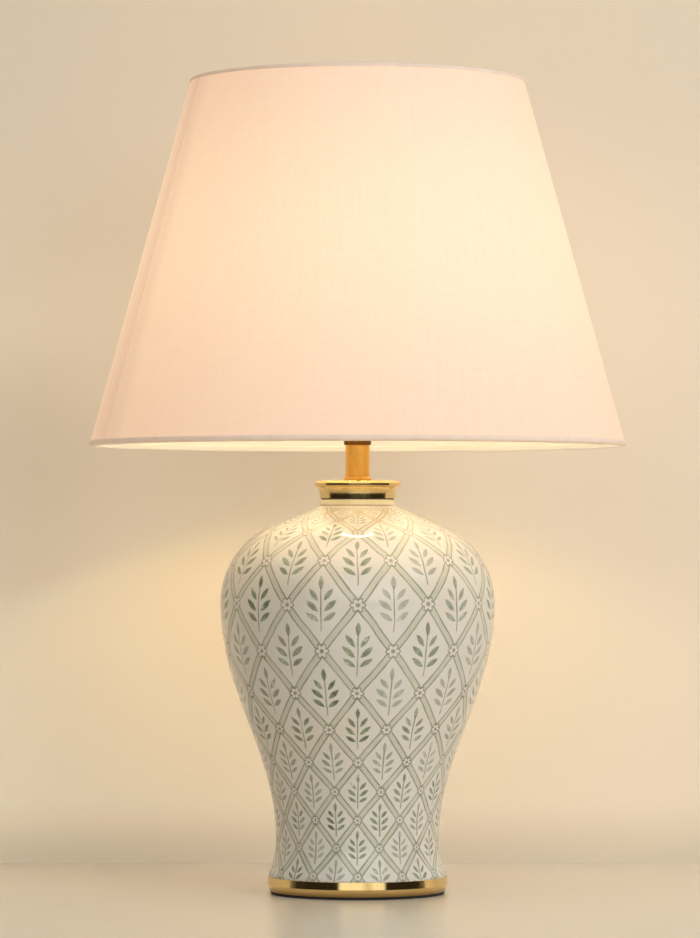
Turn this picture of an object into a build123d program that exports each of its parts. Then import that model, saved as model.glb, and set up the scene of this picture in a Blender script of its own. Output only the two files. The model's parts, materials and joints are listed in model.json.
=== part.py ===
from build123d import *
import os
from math import acos, asin, atan2, cos, degrees, hypot, radians, sin, sqrt, tan

# A table lamp. A hollow ceramic body is clamped between a brass foot and a brass cap by one threaded rod.
# On the rod stand a stem, the saddle of a wire bow and a switched lamp holder, and the bow carries the shade.
# The origin is the middle of the underside, the front of the lamp faces -Y, and all sizes are in millimetres.

# Clearances
slip = 0.1  # radial play where one piece slips into or over another
thread_play = 0.1  # radial play between two threads
seat_play = 0.3  # radial play of the ceramic in its brass seats
hollow_play = 0.2  # room above and below what lies in the hollow of the foot

# Felt pad and brass foot
pad_thickness = 2.0
pad_inset = 0.5  # how far the pad stays inside the lower edge of the foot
base_rim = 0.8  # brass round the foot of the body
base_rim_lean = 0.2  # how far the rim draws in towards its top
base_undercut = 2.1  # how far the lower wall draws in
base_knuckle = 5.2  # height of the undercut wall
base_wall = 1.4
base_plate = 1.2
base_seat = 2.0  # depth of the seat for the body, gasket included
base_edge_round = 0.25

# Inlet for the mains lead, in the back of the foot
cord_bore_radius = 2.7
grommet_wall = 0.6
grommet_flange = 0.4  # how far the flanges stand out from the neck of the grommet
grommet_flange_thickness = 1.2

# Threaded rod and the stack that clamps the foot
rod_radius = 5.0
rod_bore_radius = 3.5
rod_tail = 1.0  # rod below the nut
nut_across_flats = 16.0
nut_thickness = 3.6
lock_washer_thickness = 1.2
lock_washer_width = 3.0
lock_washer_gap = 1.5
washer_thickness = 1.2
washer_radius = 18.0

# Ceramic body
foot_gasket_thickness = 1.0
gasket_inset = 1.0  # how far each gasket stays inside the rim that it seals
foot_land = 10.0  # width of the foot ring
foot_recess = 3.0
foot_band = 3.3  # upright band at the foot
flare_radius = 61.2
waist_radius = 60.8
waist_height = 28.0
waist_handle = 66.0  # pull of the side curve above the waist
belly_radius = 102.3
belly_height = 203.7
belly_handle = 68.0  # pull of the side curve below the belly
shoulder_radius = 62.6
shoulder_pitch = 22.4  # degrees between the upper shoulder and the horizontal
neck_radius = 28.0
neck_height = 4.5
neck_root_round = 2.0
neck_lip_round = 1.0
body_wall = 6.0
body_floor = 7.0
drain_radius = 9.0

# Brass cap
neck_gasket_thickness = 0.8
cap_height = 13.4
cap_overlap = 0.4  # how far the lower edge stands out past the neck
cap_seat = 2.4  # width of the lower edge, which stands on the gasket
cap_flare = 2.6  # how far the side flares out on its way to the lip
cap_lip_overhang = 1.2
cap_lip_height = 3.2
cap_lip_round = 0.8
cap_wall = 1.2
cap_spigot_depth = 6.0

# Stem
stem_radius = 9.0
stem_wall = 1.0
stem_length = 24.0
stem_ring_overhang = 1.3
stem_foot_ring_height = 2.4
stem_top_ring_height = 3.4
stem_ring_round = 0.7
stem_spigot = 2.0

# Saddle, bow and sleeves
saddle_thickness = 1.5
saddle_hub_radius = 10.0
saddle_arm_width = 7.0
saddle_end_radius = 5.0
harp_leg_offset = 29.0  # from the axis to each leg
harp_wire_radius = 2.2
harp_pin_height = 9.0
harp_height = 236.0  # from the saddle to the middle of the wire at the top
harp_half_width = 57.0
harp_flare_height = 36.0
harp_bend_radius = 22.0
harp_leg_spare = 3.0  # straight leg above the raised sleeve
harp_eye_radius = 5.5
harp_eye_height = 4.8
sleeve_wall = 1.3
sleeve_height = 16.0
sleeve_lift = 15.0
sleeve_bevel = 0.5

# Stud and finial
stud_radius = 3.1
stud_tail_radius = 2.0
stud_flange_radius = 6.5
stud_flange_thickness = 2.0
stud_rivet_radius = 3.2
stud_rivet_height = 1.0
stud_reach = 14.0  # thread above the spider
finial_base_radius = 7.0
finial_base_height = 2.5
finial_neck_radius = 4.8
finial_ball_radius = 7.6
finial_bore_spare = 1.0
finial_crown = 7.0  # brass above the bore

# Lamp holder, from the thread of the bulb outwards
bulb_cap_radius = 13.1
screw_shell_wall = 0.5
screw_shell_height = 21.0
screw_shell_lip = 4.0
liner_wall = 0.8
shell_wall = 0.8
shell_margin = 2.0  # how far the shell stands above the thread
shell_bead = 1.0
socket_cap_wall = 0.9
socket_hub_radius = 8.0
socket_hub_height = 7.0
socket_dome_height = 11.0
socket_skirt = 6.0
socket_ledge = 3.2  # ledge inside the cap that the inner pieces stand on
rod_stand = 1.0  # rod above the hub of the cap
core_height = 21.0
set_screw_radius = 1.5
set_screw_head_radius = 2.4
set_screw_head_height = 1.6
terminal_flat = 10.2  # from the axis to the flats under the terminal screws
terminal_recess = 8.0
terminal_height = 6.0
terminal_screw_radius = 1.5
terminal_screw_length = 5.0
terminal_head_radius = 3.0
terminal_head_height = 1.8
contact_width = 5.0
contact_thickness = 0.6
contact_length = 13.0
contact_rise = 2.2

# Turn switch
shaft_radius = 1.6
shaft_depth = 2.0  # shaft beyond the axis of the lamp
knob_radius = 4.5
knob_stem_radius = 3.4
knob_stem_length = 5.0
knob_length = 15.0
knob_thickness = 3.8
knob_gap = 0.8
notch_clearance = 1.4

# Bulb
bulb_length = 108.0
bulb_radius = 30.0
bulb_housing_step = 4.0  # how far the edge of the housing stands inside the globe
bulb_globe_wall = 1.2
bulb_contact_radius = 5.5
bulb_contact_height = 2.0
bulb_contact_gap = 0.2
bulb_cone_height = 4.0
bulb_shell_length = 19.0
bulb_collar = 0.8  # how far the housing stands out from the cap
bulb_board_radius = 19.0
bulb_board_thickness = 1.6

# Shade
shade_recess = 24.3  # from the hub of the spider up to the edge of the panel
shade_height = 271.3
shade_bottom_radius = 199.2
shade_top_radius = 124.2
panel_thickness = 0.9
seam_angle = 198.0  # degrees from +X to the start of the lap
seam_lap = 4.0  # degrees
seam_thickness = 0.5
ring_wire_radius = 1.5
trim_thickness = 0.6
bottom_trim_height = 2.6
top_trim_height = 2.4
inner_trim_height = 4.0
spider_arm_radius = 1.3
spider_arm_flat = 26.0  # level stretch of each arm, from the axis
spider_bend_radius = 18.0
spider_turn = 90.0  # degrees from +X to the first arm
spider_arms = 3
spider_hub_rim = 2.7  # how far each arm is let into the hub
spider_hub_thickness = 2.0

# Sizes that follow
grommet_radius = cord_bore_radius + grommet_wall
grommet_flange_radius = grommet_radius + grommet_flange
nut_stack = rod_tail + nut_thickness + lock_washer_thickness + washer_thickness
base_hollow = max(2 * grommet_flange_radius, nut_stack) + 2 * hollow_play
flare_turn = asin((waist_height - foot_band) / flare_radius)
foot_radius = waist_radius + flare_radius * (1 - cos(flare_turn))
base_seat_radius = foot_radius + seat_play
base_radius = base_seat_radius + base_rim
base_bottom_radius = base_radius - base_undercut
neck_bore_radius = neck_radius - body_wall
cap_foot_radius = neck_radius + cap_overlap
cap_lip_radius = cap_foot_radius + cap_flare + cap_lip_overhang
stem_bore_radius = stem_radius - stem_wall
stem_ring_radius = stem_radius + stem_ring_overhang
rod_hole_radius = rod_radius + slip
screw_shell_bore = bulb_cap_radius + thread_play
screw_shell_radius = screw_shell_bore + screw_shell_wall
liner_bore = screw_shell_radius + slip
liner_radius = liner_bore + liner_wall
shell_bore = liner_radius + slip
shell_radius = shell_bore + shell_wall
socket_cap_bore = shell_radius + slip
socket_radius = socket_cap_bore + socket_cap_wall
sleeve_bore = harp_wire_radius + slip
sleeve_radius = sleeve_bore + sleeve_wall
leg_bend = atan2(harp_half_width - harp_leg_offset, harp_flare_height)
leg_bend_reach = harp_bend_radius * tan(leg_bend / 2)  # leg that the bend above it takes up
notch_radius = shaft_radius + notch_clearance
shell_height = core_height + screw_shell_height + shell_margin
bulb_housing_radius = bulb_radius - bulb_housing_step
finial_height = stud_reach + finial_bore_spare + finial_crown
spider_arm_start = max(finial_base_radius, stud_flange_radius) + spider_arm_radius
spider_hub_radius = spider_arm_start + spider_hub_rim

# Levels, from the table up
base_z = pad_thickness
plate_z = base_z + base_hollow
seat_z = plate_z + base_plate
rim_z = seat_z + base_seat
cord_z = base_z + base_hollow / 2
washer_z = plate_z - washer_thickness
lock_washer_z = washer_z - lock_washer_thickness
nut_z = lock_washer_z - nut_thickness
rod_z = nut_z - rod_tail
body_z = seat_z + foot_gasket_thickness
band_z = body_z + foot_band
floor_z = body_z + foot_recess + body_floor
waist_z = body_z + waist_height
belly_z = body_z + belly_height
pitch_rise = tan(radians(shoulder_pitch))
shoulder_turn = radians(90 - shoulder_pitch)
shoulder_end_radius = belly_radius - shoulder_radius * (1 - cos(shoulder_turn))
shoulder_end_z = belly_z + shoulder_radius * sin(shoulder_turn)
neck_root_z = shoulder_end_z + (shoulder_end_radius - neck_radius) * pitch_rise
neck_z = neck_root_z + neck_height
cap_z = neck_z + neck_gasket_thickness
cap_top_z = cap_z + cap_height
stem_z = cap_top_z + stem_foot_ring_height
stem_top_z = stem_z + stem_length
saddle_z = stem_top_z + stem_top_ring_height
holder_z = saddle_z + saddle_thickness
rod_top_z = holder_z + socket_hub_height + rod_stand
ledge_z = holder_z + socket_hub_height + socket_dome_height
switch_z = ledge_z + socket_skirt + knob_gap + knob_radius
core_top_z = ledge_z + core_height
bulb_z = core_top_z + contact_rise + bulb_contact_gap
bulb_cone_z = bulb_z + bulb_contact_height
bulb_shell_z = bulb_cone_z + bulb_cone_height
bulb_housing_z = bulb_shell_z + bulb_shell_length
globe_z = bulb_z + bulb_length - bulb_radius
globe_drop = sqrt(bulb_radius**2 - bulb_housing_radius**2)
globe_seat_z = globe_z - globe_drop
pin_top_z = holder_z + harp_pin_height
leg_top_z = holder_z + sleeve_height + sleeve_lift + harp_leg_spare + leg_bend_reach
harp_z = holder_z + harp_height
eye_top_z = harp_z + harp_eye_height / 2
eye_low_z = harp_z - harp_eye_height / 2
spider_z = eye_top_z + stud_flange_thickness
finial_z = spider_z + spider_hub_thickness
shade_top_z = finial_z + shade_recess
shade_bottom_z = shade_top_z - shade_height

# Section of the shade: distances up the slope from the lower edge of the panel, and depths into the shade
shade_lean = atan2(shade_bottom_radius - shade_top_radius, shade_height)
slope_length = hypot(shade_bottom_radius - shade_top_radius, shade_height)
ring_depth = panel_thickness + slip + ring_wire_radius
trim_depth = ring_depth + ring_wire_radius + slip


def slope_plane(angle=0.0):
    """Plane of the shade's section at an angle from +X: its X runs up the cone, its Y into the shade."""
    across = Vector(cos(radians(angle)), sin(radians(angle)), 0)
    corner = across * shade_bottom_radius + Vector(0, 0, shade_bottom_z)
    up_slope = Vector(0, 0, cos(shade_lean)) - across * sin(shade_lean)
    return Plane(origin=corner, x_dir=up_slope, z_dir=across.rotate(Axis.Z, -90))


def round_corner(profile, corner, radius):
    """Round the corner of a profile that lies nearest to a point."""
    fillet(profile.vertices().sort_by_distance(corner)[0], radius)


def ring_section(inner, outer, low, high):
    """Draw the section of a plain ring or tube."""
    Polyline((inner, low), (outer, low), (outer, high), (inner, high), close=True)


def body_side(inset, low_z):
    """Draw one face of the body's wall, from low_z up to the rim of the neck, inset from the outside."""
    bend = flare_radius + inset
    waist = (waist_radius - inset, waist_z)
    belly = (belly_radius - inset, belly_z)
    flare = JernArc(waist, (0, -1), bend, degrees(asin((waist_z - low_z) / bend)))
    Bezier(waist, (waist[0], waist_z + waist_handle), (belly[0], belly_z - belly_handle), belly)
    shoulder = JernArc(belly, (0, 1), shoulder_radius - inset, degrees(shoulder_turn))
    shoulder_end = shoulder @ 1
    neck = neck_radius - inset
    root_z = shoulder_end.Y + (shoulder_end.X - neck) * pitch_rise
    Polyline(shoulder_end, (neck, root_z), (neck, neck_z))
    return flare @ 1


def foot_wall(inset, top_z):
    """Draw the side of the brass foot, from the pad up to top_z, inset from the outside."""
    return Polyline(
        (base_bottom_radius - inset, base_z),
        (base_radius - inset, base_z + base_knuckle),
        (base_radius - inset, top_z),
    )


def binding_section(edge, inwards, height):
    """Draw the section of a binding folded over an edge of the panel, inwards being +1 or -1 up the slope."""
    outside = -slip - trim_thickness
    back = edge + inwards * outside
    floor = edge - inwards * slip
    leaf = edge + inwards * height
    inside = trim_depth + trim_thickness
    Polyline(
        (leaf, outside),
        (back, outside),
        (back, inside),
        (floor, inside),
        (floor, -slip),
        (leaf, -slip),
        close=True,
    )


os.makedirs("parts", exist_ok=True)

# Felt pad under the foot
with BuildPart() as felt_pad:
    Cylinder(
        base_bottom_radius - pad_inset,
        pad_thickness,
        align=(Align.CENTER, Align.CENTER, Align.MIN),
    )

# Brass foot: an undercut wall, a plate that carries the body, and a thin rim round the body
with BuildPart() as brass_base:
    with BuildSketch(Plane.XZ) as base_profile:
        with BuildLine():
            side = foot_wall(0, rim_z - base_rim)
            rim_outer = (base_radius - base_rim_lean, rim_z)
            rim_inner = (base_seat_radius, rim_z)
            hollow = foot_wall(base_wall, plate_z)
            Polyline(side @ 1, rim_outer, rim_inner, (base_seat_radius, seat_z), (rod_hole_radius, seat_z),
                     (rod_hole_radius, plate_z), hollow @ 1)
            Line(side @ 0, hollow @ 0)
        make_face()
        round_corner(base_profile, rim_outer, base_edge_round)
        round_corner(base_profile, (base_radius, base_z + base_knuckle), base_edge_round)
    revolve(axis=Axis.Z)
    with BuildSketch(Plane.XZ):
        with Locations((0, cord_z)):
            Circle(grommet_radius + slip)
    extrude(amount=-2 * base_radius, mode=Mode.SUBTRACT)

# Rubber grommet: two flanges that follow the wall of the foot, and a neck through it
with BuildPart() as foot_block:
    with BuildSketch(Plane.XZ):
        with BuildLine():
            side = foot_wall(-slip, rim_z)
            Polyline(side @ 1, (0, rim_z), (0, base_z), side @ 0)
        make_face()
    revolve(axis=Axis.Z)
with BuildPart() as foot_hollow:
    with BuildSketch(Plane.XZ):
        with BuildLine():
            side = foot_wall(base_wall + slip, plate_z)
            Polyline(side @ 1, (0, plate_z), (0, base_z), side @ 0)
        make_face()
    revolve(axis=Axis.Z)
grommet_outside = base_radius + slip + grommet_flange_thickness
grommet_inside = base_bottom_radius - base_wall - slip - grommet_flange_thickness
with BuildPart() as cord_grommet:
    with BuildSketch(Plane.XZ.offset(-grommet_outside)):
        with Locations((0, cord_z)):
            Circle(grommet_flange_radius)
    extrude(amount=grommet_outside - grommet_inside)
    add(foot_block.part, mode=Mode.SUBTRACT)
    with BuildSketch(Plane.XZ.offset(-grommet_outside)):
        with Locations((0, cord_z)):
            Circle(grommet_flange_radius)
    inner_flange_solid = extrude(amount=grommet_outside - grommet_inside, mode=Mode.PRIVATE)
    add(inner_flange_solid & foot_hollow.part)
    with BuildSketch(Plane.XZ.offset(-grommet_inside)):
        with Locations((0, cord_z)):
            Circle(grommet_radius)
    extrude(amount=grommet_inside - base_radius)
    with BuildSketch(Plane.XZ.offset(-grommet_outside)):
        with Locations((0, cord_z)):
            Circle(cord_bore_radius)
    extrude(amount=grommet_outside - grommet_inside, mode=Mode.SUBTRACT)

# Washer, split lock washer and nut that pull the rod down
with BuildPart() as base_washer:
    with BuildSketch(Plane.XY.offset(washer_z)):
        Circle(washer_radius)
        Circle(rod_hole_radius, mode=Mode.SUBTRACT)
    extrude(amount=washer_thickness)

with BuildPart() as base_lock_washer:
    with BuildSketch(Plane.XY.offset(lock_washer_z)):
        Circle(rod_hole_radius + lock_washer_width)
        Circle(rod_hole_radius, mode=Mode.SUBTRACT)
        Rectangle(2 * (rod_hole_radius + lock_washer_width), lock_washer_gap,
                  align=(Align.MIN, Align.CENTER), mode=Mode.SUBTRACT)
    extrude(amount=lock_washer_thickness)

with BuildPart() as base_nut:
    with BuildSketch(Plane.XY.offset(nut_z)):
        RegularPolygon(nut_across_flats / 2, 6, major_radius=False)
        Circle(rod_radius + thread_play, mode=Mode.SUBTRACT)
    extrude(amount=nut_thickness)

# Hollow threaded rod from the foot to the lamp holder
with BuildPart() as threaded_rod:
    with BuildSketch(Plane.XY.offset(rod_z)):
        Circle(rod_radius)
        Circle(rod_bore_radius, mode=Mode.SUBTRACT)
    extrude(amount=rod_top_z - rod_z)

# Foam ring between the foot and the body
with BuildPart() as foot_gasket:
    with BuildSketch(Plane.XY.offset(seat_z)):
        Circle(foot_radius - gasket_inset)
        Circle(foot_radius - foot_land + gasket_inset, mode=Mode.SUBTRACT)
    extrude(amount=foot_gasket_thickness)

# Ceramic body: an even wall, a foot ring, a floor with a drain hole and an open neck
with BuildPart() as ceramic_body:
    with BuildSketch(Plane.XZ) as body_profile:
        with BuildLine():
            band = body_side(0, band_z)
            Polyline(band, (foot_radius, body_z), (0, body_z), (0, neck_z), (neck_radius, neck_z))
        make_face()
        round_corner(body_profile, (neck_radius, neck_root_z), neck_root_round)
        round_corner(body_profile, (neck_radius, neck_z), neck_lip_round)
    revolve(axis=Axis.Z)
    with BuildSketch(Plane.XZ):
        with BuildLine():
            corner = body_side(body_wall, floor_z)
            Polyline(corner, (0, floor_z), (0, neck_z), (neck_bore_radius, neck_z))
        make_face()
    revolve(axis=Axis.Z, mode=Mode.SUBTRACT)
    with BuildSketch(Plane.XY.offset(body_z)):
        Circle(foot_radius - foot_land)
    extrude(amount=foot_recess, mode=Mode.SUBTRACT)
    with BuildSketch(Plane.XY.offset(body_z)):
        Circle(drain_radius)
    extrude(amount=foot_recess + body_floor, mode=Mode.SUBTRACT)

# Foam ring between the neck and the cap
with BuildPart() as neck_gasket:
    with BuildSketch(Plane.XY.offset(neck_z)):
        Circle(neck_radius - gasket_inset)
        Circle(neck_bore_radius + gasket_inset, mode=Mode.SUBTRACT)
    extrude(amount=neck_gasket_thickness)

# Brass cap: a flared side under a flat lip, hollow below, with a spigot that centres it in the neck
lip_low_z = cap_top_z - cap_lip_height
cap_under_z = cap_top_z - cap_wall
spigot_radius = neck_bore_radius - seat_play
with BuildPart() as vase_cap:
    with BuildSketch(Plane.XZ) as cap_profile:
        with BuildLine():
            foot = (cap_foot_radius, cap_z)
            under_lip = (cap_foot_radius + cap_flare, lip_low_z)
            inner_foot = (cap_foot_radius - cap_seat, cap_z)
            inner_top = (cap_foot_radius + cap_flare - cap_wall, lip_low_z)
            TangentArc(foot, under_lip, tangent=(0, 1))
            Polyline(under_lip, (cap_lip_radius, lip_low_z), (cap_lip_radius, cap_top_z),
                     (rod_hole_radius, cap_top_z), (rod_hole_radius, cap_under_z),
                     (inner_top[0], cap_under_z), inner_top)
            TangentArc(inner_foot, inner_top, tangent=(0, 1))
            Line(inner_foot, foot)
        make_face()
        round_corner(cap_profile, (cap_lip_radius, lip_low_z), cap_lip_round)
        round_corner(cap_profile, (cap_lip_radius, cap_top_z), cap_lip_round)
    revolve(axis=Axis.Z)
    with BuildSketch(Plane.XZ):
        with BuildLine():
            ring_section(spigot_radius - cap_wall, spigot_radius, neck_z - cap_spigot_depth, cap_under_z)
        make_face()
    revolve(axis=Axis.Z)

# Stem: a tube between two rings, each with a spigot in the tube
with BuildPart() as stem_foot_ring:
    with BuildSketch(Plane.XZ) as foot_ring_profile:
        with BuildLine():
            spigot = stem_bore_radius - slip
            spigot_top_z = stem_z + stem_spigot
            Polyline(
                (rod_hole_radius, cap_top_z),
                (stem_ring_radius, cap_top_z),
                (stem_ring_radius, stem_z),
                (spigot, stem_z),
                (spigot, spigot_top_z),
                (rod_hole_radius, spigot_top_z),
                close=True,
            )
        make_face()
        round_corner(foot_ring_profile, (stem_ring_radius, cap_top_z), stem_ring_round)
        round_corner(foot_ring_profile, (stem_ring_radius, stem_z), stem_ring_round)
    revolve(axis=Axis.Z)

with BuildPart() as stem_tube:
    with BuildSketch(Plane.XY.offset(stem_z)):
        Circle(stem_radius)
        Circle(stem_bore_radius, mode=Mode.SUBTRACT)
    extrude(amount=stem_length)

with BuildPart() as stem_top_ring:
    with BuildSketch(Plane.XZ) as top_ring_profile:
        with BuildLine():
            spigot_low_z = stem_top_z - stem_spigot
            Polyline(
                (rod_hole_radius, saddle_z),
                (stem_ring_radius, saddle_z),
                (stem_ring_radius, stem_top_z),
                (spigot, stem_top_z),
                (spigot, spigot_low_z),
                (rod_hole_radius, spigot_low_z),
                close=True,
            )
        make_face()
        round_corner(top_ring_profile, (stem_ring_radius, saddle_z), stem_ring_round)
        round_corner(top_ring_profile, (stem_ring_radius, stem_top_z), stem_ring_round)
    revolve(axis=Axis.Z)

# Saddle: a flat strip on the rod with a pin at each end
with BuildPart() as harp_saddle:
    with BuildSketch(Plane.XY.offset(saddle_z)):
        Rectangle(2 * harp_leg_offset, saddle_arm_width)
        Circle(saddle_hub_radius)
        with Locations((-harp_leg_offset, 0), (harp_leg_offset, 0)):
            Circle(saddle_end_radius)
        Circle(rod_hole_radius, mode=Mode.SUBTRACT)
    extrude(amount=saddle_thickness)
    with BuildSketch(Plane.XY.offset(holder_z)):
        with Locations((-harp_leg_offset, 0), (harp_leg_offset, 0)):
            Circle(harp_wire_radius)
    extrude(amount=harp_pin_height)

# Bow: one wire that stands on the two pins, with a round eye at the top
with BuildPart() as harp:
    with BuildLine(Plane.XZ) as bow:
        arch_foot = (harp_half_width, harp_z - harp_half_width)
        leg = FilletPolyline(
            (harp_leg_offset, pin_top_z),
            (harp_leg_offset, leg_top_z),
            (harp_half_width, leg_top_z + harp_flare_height),
            arch_foot,
            radius=harp_bend_radius,
        )
        ThreePointArc(arch_foot, (0, harp_z), (-harp_half_width, arch_foot[1]))
        mirror(leg, about=Plane.YZ)
    with BuildSketch(Plane.XY.offset(pin_top_z)):
        with Locations((harp_leg_offset, 0)):
            Circle(harp_wire_radius)
    sweep(path=bow.wires()[0])
    with BuildSketch(Plane.XY.offset(eye_low_z)):
        Circle(harp_eye_radius)
    extrude(amount=harp_eye_height)
    with BuildSketch(Plane.XY.offset(eye_low_z)):
        Circle(stud_tail_radius + slip)
    extrude(amount=harp_eye_height, mode=Mode.SUBTRACT)

# Stud: a riveted tail in the eye, a flange that carries the shade, and the thread for the finial
stud_top_z = finial_z + stud_reach
with BuildPart() as harp_stud:
    with BuildSketch(Plane.XZ):
        with BuildLine():
            Polyline(
                (0, eye_low_z - stud_rivet_height),
                (stud_rivet_radius, eye_low_z - stud_rivet_height),
                (stud_rivet_radius, eye_low_z),
                (stud_tail_radius, eye_low_z),
                (stud_tail_radius, eye_top_z),
                (stud_flange_radius, eye_top_z),
                (stud_flange_radius, spider_z),
                (stud_radius, spider_z),
                (stud_radius, stud_top_z),
                (0, stud_top_z),
                close=True,
            )
        make_face()
    revolve(axis=Axis.Z)

# Sleeves that lock the legs of the bow on the pins
sleeves = {"harp_sleeve_left": -harp_leg_offset, "harp_sleeve_right": harp_leg_offset}
for sleeve_name, sleeve_x in sleeves.items():
    with BuildPart() as harp_sleeve:
        with BuildSketch(Plane.XY.offset(holder_z)):
            with Locations((sleeve_x, 0)):
                Circle(sleeve_radius)
                Circle(sleeve_bore, mode=Mode.SUBTRACT)
        extrude(amount=sleeve_height)
        outer_edges = harp_sleeve.edges().filter_by(GeomType.CIRCLE).group_by(SortBy.RADIUS)[-1]
        chamfer(outer_edges, sleeve_bevel)
    harp_sleeve.part.label = sleeve_name
    export_step(harp_sleeve.part, f"parts/{sleeve_name}.step")

# Cap of the lamp holder: a hub on the rod, a dome, a skirt and a ledge inside
hub_top_z = holder_z + socket_hub_height
ledge_radius = socket_cap_bore - socket_ledge
skirt_top_z = ledge_z + socket_skirt
set_screw_z = holder_z + socket_hub_height / 2
with BuildPart() as socket_cap:
    with BuildSketch(Plane.XZ):
        with BuildLine():
            dome = TangentArc((socket_radius, ledge_z), (socket_hub_radius, hub_top_z), tangent=(0, -1))
            inner_dome = TangentArc((ledge_radius, ledge_z), (rod_hole_radius, hub_top_z), tangent=(0, -1))
            Polyline(dome @ 1, (socket_hub_radius, holder_z), (rod_hole_radius, holder_z), inner_dome @ 1)
            Polyline(
                inner_dome @ 0,
                (socket_cap_bore, ledge_z),
                (socket_cap_bore, skirt_top_z),
                (socket_radius, skirt_top_z),
                dome @ 0,
            )
        make_face()
    revolve(axis=Axis.Z)
    with BuildSketch(Plane.XZ):
        with Locations((0, set_screw_z)):
            Circle(set_screw_radius + thread_play)
    extrude(amount=-2 * socket_hub_radius, mode=Mode.SUBTRACT)

with BuildPart() as socket_set_screw:
    with BuildSketch(Plane.XZ.offset(-rod_radius)):
        with Locations((0, set_screw_z)):
            Circle(set_screw_radius)
    extrude(amount=rod_radius - socket_hub_radius)
    with BuildSketch(Plane.XZ.offset(-socket_hub_radius)):
        with Locations((0, set_screw_z)):
            Circle(set_screw_head_radius)
    extrude(amount=-set_screw_head_height)

# Shell of the lamp holder and its fibre liner, both notched below for the switch
shell_top_z = ledge_z + shell_height
with BuildPart() as socket_shell:
    with BuildSketch(Plane.XZ):
        with BuildLine():
            bead_z = shell_top_z - 2 * shell_bead
            ThreePointArc((shell_radius, bead_z), (shell_radius + shell_bead, bead_z + shell_bead),
                          (shell_radius, shell_top_z))
            Polyline((shell_radius, bead_z), (shell_radius, ledge_z), (shell_bore, ledge_z),
                     (shell_bore, shell_top_z), (shell_radius, shell_top_z))
        make_face()
    revolve(axis=Axis.Z)
    with BuildSketch(Plane.XZ):
        with Locations((0, switch_z)):
            Circle(notch_radius)
            Rectangle(2 * notch_radius, switch_z - ledge_z, align=(Align.CENTER, Align.MAX))
    extrude(amount=2 * shell_radius, mode=Mode.SUBTRACT)

with BuildPart() as socket_liner:
    with BuildSketch(Plane.XY.offset(ledge_z)):
        Circle(liner_radius)
        Circle(liner_bore, mode=Mode.SUBTRACT)
    extrude(amount=shell_height - 2 * shell_bead)
    with BuildSketch(Plane.XZ):
        with Locations((0, switch_z)):
            Circle(notch_radius)
            Rectangle(2 * notch_radius, switch_z - ledge_z, align=(Align.CENTER, Align.MAX))
    extrude(amount=2 * shell_radius, mode=Mode.SUBTRACT)

# Moulded core: bored for the switch shaft, with a flat recess at each side for a terminal screw
terminal_z = ledge_z + terminal_height
screw_seat = terminal_flat - terminal_screw_length
with BuildPart() as socket_core:
    with BuildSketch(Plane.XY.offset(ledge_z)):
        Circle(screw_shell_radius)
    extrude(amount=core_height)
    with BuildSketch(Plane.XZ.offset(-shaft_depth)):
        with Locations((0, switch_z)):
            Circle(shaft_radius + slip)
    extrude(amount=shaft_depth + 2 * screw_shell_radius, mode=Mode.SUBTRACT)
    for turn in (0, 180):
        with BuildSketch(Plane.YZ.rotated((0, 0, turn)).offset(terminal_flat)):
            with Locations((0, terminal_z)):
                Rectangle(2 * screw_shell_radius, terminal_recess)
        extrude(amount=screw_shell_radius, mode=Mode.SUBTRACT)
        with BuildSketch(Plane.YZ.rotated((0, 0, turn)).offset(screw_seat)):
            with Locations((0, terminal_z)):
                Circle(terminal_screw_radius + thread_play)
        extrude(amount=terminal_screw_length, mode=Mode.SUBTRACT)

with BuildPart() as terminal_screws:
    for turn in (0, 180):
        with BuildSketch(Plane.YZ.rotated((0, 0, turn)).offset(screw_seat)):
            with Locations((0, terminal_z)):
                Circle(terminal_screw_radius)
        extrude(amount=terminal_screw_length)
        with BuildSketch(Plane.YZ.rotated((0, 0, turn)).offset(terminal_flat)):
            with Locations((0, terminal_z)):
                Circle(terminal_head_radius)
        extrude(amount=terminal_head_height)

# Threaded shell for the bulb, and the sprung tongue below it
with BuildPart() as screw_shell:
    with BuildSketch(Plane.XZ):
        with BuildLine():
            lip_z = core_top_z + screw_shell_wall
            rim_top_z = core_top_z + screw_shell_height
            lip_radius = screw_shell_radius - screw_shell_lip
            Polyline(
                (lip_radius, core_top_z),
                (screw_shell_radius, core_top_z),
                (screw_shell_radius, rim_top_z),
                (screw_shell_bore, rim_top_z),
                (screw_shell_bore, lip_z),
                (lip_radius, lip_z),
                close=True,
            )
        make_face()
    revolve(axis=Axis.Z)

with BuildPart() as centre_contact:
    with BuildSketch(Plane.XZ.offset(-contact_width / 2)):
        with BuildLine():
            half = contact_length / 2
            tongue_z = core_top_z + contact_rise
            Polyline(
                (-half, core_top_z),
                (-half / 2, core_top_z),
                (half, tongue_z - contact_thickness),
                (half, tongue_z),
                (-half / 2, core_top_z + contact_thickness),
                (-half, core_top_z + contact_thickness),
                close=True,
            )
        make_face()
    extrude(amount=contact_width)

# Turn switch: a shaft through the notch, and a key on it
knob_y = socket_radius + knob_gap
paddle_length = knob_length - knob_stem_length - knob_radius
with BuildPart() as switch_shaft:
    with BuildSketch(Plane.XZ.offset(-shaft_depth)):
        with Locations((0, switch_z)):
            Circle(shaft_radius)
    extrude(amount=shaft_depth + knob_y + knob_stem_length)

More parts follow.
